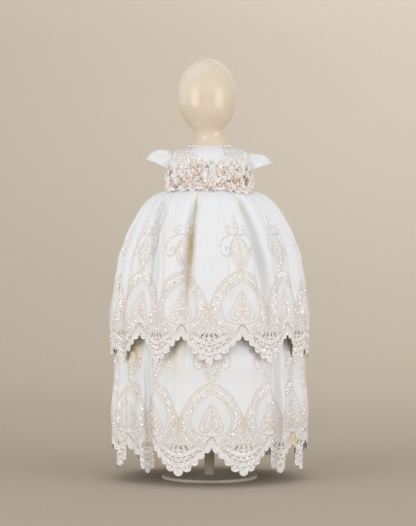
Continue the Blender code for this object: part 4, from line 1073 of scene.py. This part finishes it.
def petals(name, grids, tones, finish, slot, stands_for=()):
    """A piece of many petals, each a small grid of places with a tone of its own from 0 to 1."""
    bm = bmesh.new()
    for grid in grids:
        bmesh.ops.create_grid(bm, x_segments=grid.shape[1] - 1, y_segments=grid.shape[0] - 1, size=0.5)
    mesh = bpy.data.meshes.new(name)
    bm.to_mesh(mesh)
    mesh.vertices.foreach_set("co", (np.concatenate([g.reshape(-1, 3) for g in grids]) * MM).ravel())
    marks = []
    for (rows, columns, _), tone in zip(map(np.shape, grids), tones):
        aside, along = np.meshgrid(np.abs(np.linspace(-1, 1, columns)), np.linspace(0, 1, rows))
        mark = [along, np.full_like(along, tone), np.maximum(along, aside), np.ones_like(along)]
        marks.append(np.stack(mark, axis=-1).ravel())
    layer = mesh.color_attributes.new("marks", "FLOAT_COLOR", "POINT")
    layer.data.foreach_set("color", np.concatenate(marks))
    bm.clear()
    bm.from_mesh(mesh)
    return finished(name, bm, finish, slot, stands_for, mesh)


def petal(seat, axes, turn, start, length, half, lean, ruffle, phase, points=(7, 7)):
    """One petal: it leaves the seat in the direction turn and stands up by lean, cupped and ruffled."""
    side, up, out = axes
    p, q = np.meshgrid(np.linspace(1, -1, points[0]), np.linspace(0, 1, points[1]))
    wide = half * (0.28 + 0.72 * np.sin(np.pi * 0.62 * q))
    along = length * q * (1 - 0.2 * p * p * q)
    rise = lean * (1 - 0.3 * q)
    r = start + along * np.cos(rise)
    cup, curl = 0.34 * wide * p * p, 0.12 * length * q**4
    n = along * np.sin(rise) + cup - curl + ruffle * np.sin(1.8 * np.pi * p + phase) * q * q
    across = p * wide * (1 - 0.12 * q * np.sin(phase))
    er = side * math.cos(turn) + up * math.sin(turn)
    et = up * math.cos(turn) - side * math.sin(turn)
    return seat + er * r[..., None] + et * across[..., None] + out * n[..., None]


def belt_seat(across, height, over):
    """A place over the bodice and its axes to the side, up and out."""
    s = share_at(height)
    bearing = math.degrees(math.asin(across / smooth(BODICE, 1, s, BODICE_RUN)))
    out = off_body(np.array(bearing), np.array(s))
    side = np.array([-out[1], out[0], 0.0])
    side /= np.linalg.norm(side)
    return body(bearing, s) + out * over, (side, np.cross(out, side), out)


# layers of a flower: petals more or fewer than the outer layer's, start, length and half width of a petal as
# shares of the radius, lean in degrees
LAYERS = [
    (0, 0.1, 1.08, 0.36, 16), (1, 0.06, 0.86, 0.28, 36),
    (0, 0.04, 0.64, 0.2, 56), (-2, 0.02, 0.44, 0.15, 76),
]
# name, across, height, radius, petals, first petal's turn, height over the satin's middle, whether ivory
FLOWERS = [
    ("belt_flower_1", -80, 649, 18.5, 6, 10, 2.5, True),
    ("belt_flower_2", -54, 672, 14.0, 5, 40, 2.6, True),
    ("belt_flower_3", -38, 649, 14.0, 5, 0, 2.5, False),
    ("belt_flower_4", -24, 681, 17.0, 6, 25, 1.0, True), ("belt_flower_5", 3, 655, 21.5, 6, 15, 2.5, True),
    ("belt_flower_6", 38, 676, 13.0, 5, 60, 2.6, False), ("belt_flower_7", 64, 680, 15.0, 5, 20, 2.6, True),
    ("belt_flower_8", 50, 650, 14.5, 5, 50, 2.5, False),
    ("belt_flower_9", 80, 647, 15.5, 6, 35, 2.5, False),
]
draw = random.Random(11)
for name, across, height, radius, count, first, over, ivory in FLOWERS:
    seat, axes = belt_seat(across, height, over + 0.4)
    grids, tones = [], []
    for layer, (more, start, length, half, lean) in enumerate(LAYERS):
        for k in range(count + more):
            turn = math.radians(first + 360 * (k + 0.5 * layer) / (count + more) + draw.uniform(-6, 6))
            long = length * radius * draw.uniform(0.8, 1.12)
            wide = half * radius * draw.uniform(0.8, 1.15)
            tilt = math.radians(lean + draw.uniform(-14, 14))
            ruffle = 0.1 * radius * draw.uniform(0.6, 1.5)
            grids.append(petal(seat, axes, turn, start * radius, long, wide, tilt, ruffle,
                               draw.uniform(0, 6.28), (9, 7)))
            tones.append(draw.uniform(0, 0.6))
    finish, slot = (ivory_organza, "ivory_petals") if ivory else (blush_organza, "blush_ribbon")
    made = petals(f"{name}_petals", grids, tones, finish, slot, [name])
    # cut one beside another from a strip as long as the longest petal
    strip = sum(2 * half * (count + more) for more, _, _, half, _ in LAYERS) * radius * MM

# small crowded flowers and loose petals: across, height, radius, petals, ivory
FILLERS = [
    (-88, 641, 9, 5, 1), (-90, 658, 8, 5, 0), (-72, 637, 9, 5, 1), (-84, 668, 8, 5, 1),
    (-68, 661, 10, 5, 1), (-62, 646, 9, 5, 0), (-56, 637, 8, 5, 1), (-50, 658, 10, 5, 1),
    (-70, 676, 8, 5, 1), (-44, 685, 8, 5, 1), (-38, 668, 10, 5, 1), (-26, 660, 9, 5, 0),
    (-22, 641, 9, 5, 1), (-10, 636, 8, 5, 1), (-12, 672, 9, 5, 1), (-8, 690, 8, 5, 1), (6, 678, 9, 5, 1),
    (20, 670, 10, 5, 0), (26, 655, 10, 5, 1), (24, 639, 9, 5, 1), (36, 661, 9, 5, 1), (38, 642, 8, 5, 0),
    (50, 666, 9, 5, 1), (52, 683, 8, 5, 1), (62, 662, 9, 5, 1), (66, 645, 10, 5, 1), (60, 634, 8, 5, 1),
    (76, 666, 9, 5, 1), (80, 681, 8, 5, 1), (87, 661, 8, 5, 0), (90, 647, 8, 5, 1), (76, 634, 9, 5, 1),
    (10, 635, 8, 5, 1), (-34, 636, 8, 5, 1), (44, 635, 8, 5, 0), (-4, 664, 8, 5, 0),
]
# petals that lie over the top of the skirt: place in the cloth, drop below the seam, half width, drift
DROOPING_IVORY = [
    (-1.95, 5, 6, 3), (-1.7, 9, 6, -4), (-1.42, 6, 7, 3), (-1.16, 8, 6, -3), (-0.92, 4, 6, 4),
    (-0.7, 6, 5, -2), (-0.46, 3, 6, 3), (-0.2, 5, 6, -3), (0.06, 4, 6, 3), (0.3, 6, 5, -3), (0.55, 4, 6, 4),
    (0.84, 8, 8, -3), (1.1, 6, 7, 3), (1.4, 9, 9, 4), (1.66, 7, 8, -3), (1.92, 5, 7, 3),
]
DROOPING_BLUSH = [
    (-1.56, 6, 6, 2), (-1.04, 5, 6, -2), (0.7, 5, 6, 2), (1.0, 10, 9, 3), (1.26, 13, 10, -2),
    (1.56, 9, 9, 2), (0.18, 4, 6, -2),
]
# layers of a small flower: length and half width of a petal as shares of the radius, lean in degrees
SMALL_LAYERS = [(1.1, 0.46, 28), (0.9, 0.36, 52), (0.6, 0.26, 74)]
SKIRT_TOP = 631.5  # just under the waist seam; over it the drooping petals stand straight up
# ivory or not, name, finish, slot, loose petals, drooping petals, width of both kinds' strip
for tone, name, finish, slot, loose, drooping, strip in (
    (1, "ivory", ivory_organza, "ivory_petals", 64, DROOPING_IVORY, 700),
    (0, "blush", blush_organza, "blush_ribbon", 22, DROOPING_BLUSH, 250),
):
    grids, tones = [], []
    for across, height, radius, count, _ in (row for row in FILLERS if row[-1] == tone):
        seat, axes = belt_seat(across, height, 3.0)
        for ring, (length, half, lean) in enumerate(SMALL_LAYERS):
            for k in range(count - ring):
                turn = 2 * math.pi * (k + 0.5 * ring + draw.uniform(-0.12, 0.12)) / (count - ring) + across
                long = length * radius * draw.uniform(0.9, 1.15)
                tilt = math.radians(lean + draw.uniform(-14, 14))
                grids.append(petal(seat, axes, turn, 0.05 * radius, long, half * radius, tilt, 0.08 * radius,
                                   draw.uniform(0, 6.28), (6, 6)))
                tones.append(draw.uniform(0, 0.5))
        strip += 9.4 * radius
    # loose petals between the flowers, and a fringe of them over the waist seam
    for _ in range(loose):
        across, height = draw.uniform(-90, 90), draw.uniform(636, 672 if draw.random() < 0.7 else 688)
        seat, axes = belt_seat(across, height, 2.8)
        turn, length, half = draw.uniform(0, 6.28), draw.uniform(9, 13), draw.uniform(3.6, 5.2)
        lean = math.radians(draw.uniform(25, 70))
        grids.append(petal(seat, axes, turn, 1.0, length, half, lean, 1.3, draw.uniform(0, 6.28), (6, 6)))
        tones.append(draw.uniform(0, 0.5))
    for place, drop, half, drift in drooping:
        p, q = np.meshgrid(np.linspace(1, -1, 7), np.linspace(0, 1, 8))
        wide = half * (0.5 + 0.5 * np.sin(np.pi * 0.7 * q)) * np.sqrt(1 - 0.6 * np.maximum(q - 0.6, 0) / 0.4)
        cloth = place + (p * wide + drift * q) / (48 + 30 * q)
        z = 635 - (drop + 3) * q * (1 - 0.2 * p * p * q)
        ruffle = np.sin(2.4 * np.pi * p + 9 * place) * q * q
        over = 2.0 + 1.6 * (1 - q) + 0.12 * wide * p * p + ruffle
        on_skirt, away = upper.place(cloth, np.minimum(z, SKIRT_TOP))
        rest = np.stack([0 * z, 0 * z, np.maximum(z - SKIRT_TOP, 0)], axis=-1)
        grids.append(on_skirt + away * over[..., None] + rest)
        tones.append(draw.uniform(0, 0.4))
    made = petals(f"belt_small_flowers_{name}", grids, tones, finish, slot)
    area = sum(face.area for face in made.data.polygons)

# Copper-lacquered wire: a warm tone with a fine sharp glint. Each stamen ends in a tiny seed bead.
copper_wire, *_ = new_finish("copper_lacquered_wire", "#d99a70", 0.34, Specular_IOR_Level=0.6)
# across, height, number of stamens, their direction and its spread in degrees, length
STAMENS = [
    (-24, 674, 6, 90, 120, 22), (-18, 664, 5, 150, 110, 20), (-40, 662, 4, 200, 90, 18),
    (-2, 650, 6, 225, 100, 21), (8, 648, 4, 300, 90, 19), (51, 640, 5, 90, 26, 32),
    (57, 643, 3, 285, 60, 16), (-50, 652, 4, 190, 80, 18), (-66, 650, 3, 250, 90, 14),
    (74, 648, 3, 100, 70, 16), (-74, 646, 3, 180, 80, 14), (22, 662, 4, 50, 90, 17),
    (30, 648, 4, 240, 100, 15), (-30, 646, 3, 260, 90, 14),
]
WIRE_RADIUS = 0.45 * MM
bm = bmesh.new()
tips = []
for across, height, number, aim, spread, length in STAMENS:
    seat, (side, up, out) = belt_seat(across, height, 5.0)
    for k in range(number):
        turn = math.radians(aim + spread * (k / (number - 1) - 0.5) + draw.uniform(-6, 6))
        along = side * math.cos(turn) + up * math.sin(turn) + out * draw.uniform(0.3, 0.55)
        foot, long, bend = seat.copy(), length * draw.uniform(0.7, 1.0) / 3, draw.uniform(-0.3, 0.3)
        for piece in range(3):
            along = along + (up * math.cos(turn) - side * math.sin(turn)) * bend - out * 0.12 * piece
            along /= np.linalg.norm(along)
            stem = bmesh.ops.create_cone(bm, segments=6, radius1=WIRE_RADIUS, radius2=WIRE_RADIUS,
                                         depth=(long + 0.2) * MM)
            turned = Vector((0, 0, 1)).rotation_difference(Vector(along)).to_matrix().to_4x4()
            middle = Vector(foot + along * long / 2) * MM
            bmesh.ops.transform(bm, verts=stem["verts"], matrix=Matrix.Translation(middle) @ turned)
            foot = foot + along * long
        tips.append(foot + along * 0.6)
finished("belt_stamens", bm, copper_wire)

# Pearl lacquer on moulded plastic, for the seed beads and the buttons: a soft gloss under a clear coat.
pearl_lustre, *_ = new_finish("pearl_lustre", "#f6f1ec", 0.16,
                              Coat_Weight=0.4, Coat_Roughness=0.08, Sheen_Weight=0.2)


def copies(name, shape, seats, frames, finish, slot=None):
    """Many copies of one small shape, each at its seat and in its frame of three axes, in millimetres."""
    points = np.array([v.co for v in shape.verts])
    shape.verts.index_update()
    corners = np.array([[v.index for v in f.verts] for f in shape.faces])
    places = np.einsum("pk,nkc->npc", points, frames) + seats[:, None, :]
    faces = corners[None] + (np.arange(len(seats)) * len(points))[:, None, None]
    mesh = bpy.data.meshes.new(name)
    mesh.from_pydata((places.reshape(-1, 3) * MM).tolist(), [], faces.reshape(-1, corners.shape[1]).tolist())
    shape.clear()
    shape.from_mesh(mesh)
    return finished(name, shape, finish, slot, (), mesh)


bead = bmesh.new()
bmesh.ops.create_icosphere(bead, subdivisions=1, radius=0.75)
seats = np.array(tips)
copies("belt_beads", bead, seats, np.broadcast_to(np.eye(3), (len(seats), 3, 3)), pearl_lustre)


# ---------------------------------------------------------------- the bow behind
# The belt's ribbon ties at the centre back: two loops, a knot wrapped over them and two tails that lie on
# the skirt. The loops and tails are soft, with creases that run out of the knot.
KNOT_Z, KNOT_Y = 642.3, BODICE[0][2] + BELT_LIFT + 0.6 + 6.5  # the knot's middle, behind the ribbon's pleats


def squared(value):
    """A sine or cosine bent so that its circle becomes a rounder square."""
    return np.sign(value) * np.abs(value) ** 0.8


u, turn = np.meshgrid(np.linspace(-1, 1, 25), np.linspace(0, 2 * np.pi, 49))
girth = 1 - 0.22 * np.abs(u) ** 3 + 0.045 * np.sin(9 * u + 0.8 * np.sin(turn))
deep, high = 6.3 * girth * squared(np.cos(turn)), 8.5 * girth * squared(np.sin(turn))
places = np.stack([7.8 * u, KNOT_Y + deep, KNOT_Z + high], axis=-1)
made = lay("bow_knot", places, blush_ribbon, "blush_ribbon", ["belt_knot"], (turn * 8, u * 9))


def bow_loop(sign, reach):
    """The surface of a loop: w along the ribbon from the knot and back to it, and v across the ribbon."""
    def where(w, v):
        out = reach * (1 - np.cos(2 * np.pi * w)) / 2
        waist = np.sin(np.pi * w)
        high = 6 + 9 * waist**1.5
        deep = 9 * np.sin(2 * np.pi * w) * waist**0.3 + 1.1 * (1 - waist) * np.sin(7.5 * v + sign)
        z = KNOT_Z + 3 + 0.08 * out + v * high + 0.8 * np.sin(5 * w + 2) * waist
        return np.stack([sign * out, KNOT_Y + deep, z], axis=-1)
    return where


LOOP_HALF = 15
for name, sign, reach in (("left", 1, 99.0), ("right", -1, 90.0)):
    where = bow_loop(sign, reach)
    start = math.acos(1 - 2 * 7.9 / reach) / (2 * math.pi)  # the loop comes out of the knot's side
    w, v = np.meshgrid(np.linspace(start, 1 - start, 101)[::sign], np.linspace(-1, 1, 31))
    crease = 0.7 * np.sin(2.5 * np.pi * v + 0.8 * np.sin(9 * w)) * np.exp(-((w - start) / 0.2) ** 2)
    crease += 0.7 * np.sin(2.5 * np.pi * v + 1) * np.exp(-((1 - start - w) / 0.2) ** 2)
    places = where(w, v) + outward(where, w, v, 0.005 * sign, 0.05) * crease[..., None]
    length = 2.1 * reach
    made = lay(f"bow_loop_{name}", places, blush_ribbon, "blush_ribbon", [f"belt_bow_{name}"],
               (w * length, v * LOOP_HALF))

# the skirt's form without its folds, which the tails lie over
plain_folds = [(-3.0, -90, -90, 0, 0, 0, 10), (3.0, 90, 90, 0, 0, 0, 10)]
plain = Tier(UPPER_OUTLINE, plain_folds, UPPER_FADE, 4.0, UPPER_TIP_Z, -6.0, [])
TAIL_TOP, TAIL_HALF, TAIL_LIFT = 629.5, 13, 1.72
for name, sign, aside, foot in (("left", 1, 0.115, 478.0), ("right", -1, 0.10, 505.0)):
    u, v = np.meshgrid(np.linspace(-1, 1, 25), np.linspace(0, 1, 73))
    z = foot + (TAIL_TOP - foot) * v
    bend = 1.6 * np.sin(1.5 * np.pi * v + sign) * np.sin(np.pi * np.minimum(2 * v, 1) / 2)
    wave_out = 0.7 + 0.8 * np.sin(2.2 * u + 5 * v + sign) * (1 - v) + 0.9 * np.sin(6.5 * u + sign) * v**3
    cloth = HALF_ROUND - sign * aside + (u * TAIL_HALF * (1 - 0.12 * v**6) + bend) / REPEAT
    places, _ = plain.place(cloth, z, TAIL_LIFT + wave_out)
    made = lay(f"bow_tail_{name}", places, blush_ribbon, "blush_ribbon", [f"belt_tail_{name}"],
               (z, u * TAIL_HALF))


# ---------------------------------------------------------------- the back buttons
# Three small pearl buttons close the backs, sewn on flat beside the edge. Each is moulded of plastic, domed
# in front and rounded at its rim.

# a button's outline from the middle of its face to the middle of its back: radius, height
BUTTON = [
    (0.0, 1.3), (1.6, 1.15), (3.0, 0.75), (3.9, 0.35), (4.5, -0.1), (4.3, -0.75), (3.2, -1.15), (0.0, -1.2),
]
BUTTON_ASIDE, BUTTON_LIFT = 7.0, 2.2  # from the centre back, and its middle over the satin's
for number, height in enumerate((674.0, 691.0, 706.0), 1):
    at = float(share_at(height))
    bearing = 180 - math.degrees(BUTTON_ASIDE / smooth(BODICE, 2, at, BODICE_RUN))
    out = off_body(np.array(bearing), np.array(at))
    bm = bmesh.new()
    rim = [bm.verts.new((r * MM, 0, h * MM)) for r, h in BUTTON]
    edges = [bm.edges.new(pair) for pair in zip(rim, rim[1:])]
    bmesh.ops.spin(bm, geom=rim + edges, axis=(0, 0, 1), cent=(0, 0, 0), steps=28, angle=2 * math.pi,
                   use_merge=True)
    bmesh.ops.remove_doubles(bm, verts=bm.verts[:], dist=1e-6)
    bmesh.ops.recalc_face_normals(bm, faces=bm.faces[:])
    seat = Vector(body(bearing, at) + out * BUTTON_LIFT) * MM
    turned = Vector((0, 0, 1)).rotation_difference(Vector(out)).to_matrix().to_4x4()
    bmesh.ops.transform(bm, verts=bm.verts[:], matrix=Matrix.Translation(seat) @ turned)
    finished(f"pearl_button_{number}", bm, pearl_lustre, "pearl_button", [f"back_button_{number}"])


# ---------------------------------------------------------------- sequins
# Silvered cupped sequins of under 3 mm sewn along the lace's band, its flower sprays and its scrolls, each
# tilted its own way.

# White plastic film, silvered by vapour and lacquered: each gives a small bright glint from one side.
silvered_sequins, *_ = new_finish("silvered_white_sequins", "#ffffff", 0.2,
                                  Metallic=0.85, Coat_Weight=0.4, Coat_Roughness=0.05)


def along(path, first, step, aside=0.0):
    """Places every step along a path, moved aside from it."""
    path = eased(path, 8)
    run = run_of(path)
    at = np.arange(first, run[-1], step)
    x, y = np.interp(at, run, path[:, 0]), np.interp(at, run, path[:, 1])
    dx, dy = np.interp(at + 0.5, run, path[:, 0]) - x, np.interp(at + 0.5, run, path[:, 1]) - y
    long = np.maximum(np.hypot(dx, dy), 1e-6)
    return np.stack([x - aside * dy / long, y + aside * dx / long], axis=1)


# from an arch's middle: the spray, and the bulb with its point
SPRAY_PLACES = [
    (0, 138), (6, 126), (0, 118), (10, 116), (19, 103), (9, 105), (0, 99), (15, 124), (3, 148), (21, 98),
    (14, 97),
]
BULB_PLACES = [
    (0, 212), (7, 207), (14, 222), (8, 218), (0, 228), (18, 234), (11, 233), (5, 240), (0, 247), (12, 250),
    (17, 243), (6, 257), (0, 263), (0, 312), (26, 241), (4, 298), (3, 284),
]
# three rows along the band, and one along the scroll
arch_places = np.concatenate([
    along(BAND, 2, 6.1, 4.2), along(BAND, 4, 6.1, -0.6), along(BAND, 3, 6.1, -5.2),
    SPRAY_PLACES, BULB_PLACES, along(SCROLL, 3, 7.5),
])
arch_places[:, 0] = HALF_REPEAT - arch_places[:, 0]
# from a tip's middle: the fan, the net beside the notch and the open work
TIP_PLACES = [
    (0, 62), (0, 74), (0, 88), (0, 104), (0, 122), (11, 64), (8, 76), (5, 92), (24, 68), (17, 80), (11, 98),
    (34, 74), (27, 86), (19, 104), (6, 112), (44, 76), (52, 82), (62, 88), (68, 80), (60, 74), (4, 20),
    (12, 24), (0, 30), (20, 30), (8, 38), (28, 40), (0, 46), (16, 47), (36, 50), (48, 58), (66, 100),
    (64, 112), (30, 96), (38, 88),
]
# one on each half link of the chained rows, clear of the edge and of the fan
chained = [
    (x, chain_line(x + LINK / 2 * (number % 2), base))
    for number, base in enumerate(CHAINS) for x in np.arange(3.2, 62, LINK / 2)
    if chain_line(x, base) > hem_height(x) + 7 and base + 0.009 * x * x < 58
]
edged = [(x, hem_height(x) + 1.2) for x in np.arange(2.5, 70, 6.0)]
chart_places = np.concatenate([arch_places, TIP_PLACES, chained, edged])


def cupped(seats, normals, radius):
    """Frames for sequins that lie on a surface, each tilted its own way."""
    n = normals + np.array([[draw.gauss(0, 0.28) for _ in range(3)] for _ in seats])
    n /= np.linalg.norm(n, axis=1, keepdims=True)
    t1 = np.cross(n, (0.3, 0.2, 1.0))
    t1 /= np.linalg.norm(t1, axis=1, keepdims=True)
    sizes = np.array([draw.uniform(0.85, 1.15) for _ in seats]) * radius
    return np.stack([t1, np.cross(n, t1), n], axis=1) * sizes[:, None, None]


def new_sequin():
    """A shallow hollow cone of radius 1 on six sides."""
    shape = bmesh.new()
    bmesh.ops.create_cone(shape, cap_ends=False, segments=6, radius1=1.0, radius2=0.0, depth=0.3)
    bmesh.ops.remove_doubles(shape, verts=shape.verts[:], dist=1e-4)
    return shape


def scattered(values, reach):
    """Values each moved a little at random."""
    return values + np.array([draw.uniform(-reach, reach) for _ in values])


for tier_name, tier in (("underskirt", lower), ("overskirt", upper)):
    for half, start in (("front", -3), ("back", 3)):
        cloths, heights = [], []
        for tip in np.arange(tier.first_tip - 1, tier.first_tip + 26):
            for sign in (-1, 1):
                cloth = scattered(tip + sign * chart_places[:, 0] / REPEAT, 0.006)
                z = scattered(tier.tip_z + chart_places[:, 1], 0.8)
                keep = (cloth > start + 0.01) & (cloth < start + HALF_ROUND - 0.01)
                cloths.append(cloth[keep])
                heights.append(z[keep])
        cloth, z = np.concatenate(cloths), np.concatenate(heights)
        seats, normals = tier.place(cloth, z, HALF_WALL + 1.0)
        copies(f"{tier_name}_{half}_sequins", new_sequin(), seats, cupped(seats, normals, 1.2),
               silvered_sequins, "beaded_lace")

# on the shoulders: round each flower, in its middle and along the stems
rings = [
    (x + 0.9 * r * math.cos(k), h + 0.9 * r * math.sin(k))
    for x, h, r, _ in SPRIGS for k in np.arange(0, 6.2, 1.05)
]
middles = [(x, h) for x, h, _, _ in SPRIGS]
lace_places = np.concatenate([rings, middles, *(along(path, 2, 5) for path in STEMS)])
for name, side, middle in (
    ("front_left", 1, 0), ("front_right", -1, 0), ("back_right", 1, 180), ("back_left", -1, 180),
):
    from_middle, s = lace_places[:, 0] / PANEL_WIDE * 90, lace_places[:, 1] / BODICE_LENGTH
    share = from_middle / (89.9 - side_reach(s))
    inner = 0.36 if middle else 0.26 + 0.1 * (s - LACE_FOOT)
    keep = (share > inner) & (share < 0.96) & (s > LACE_FOOT + 0.01) & (s < LACE_TOP - 0.01)
    bearing, s = middle + side * from_middle[keep], s[keep]
    normals = off_body(bearing, s)
    seats = body(bearing, s) + normals * (LACE_LIFT + 0.9)
    copies(f"shoulder_sequins_{name}", new_sequin(), seats, cupped(seats, normals, 1.1), silvered_sequins,
           "beaded_lace")
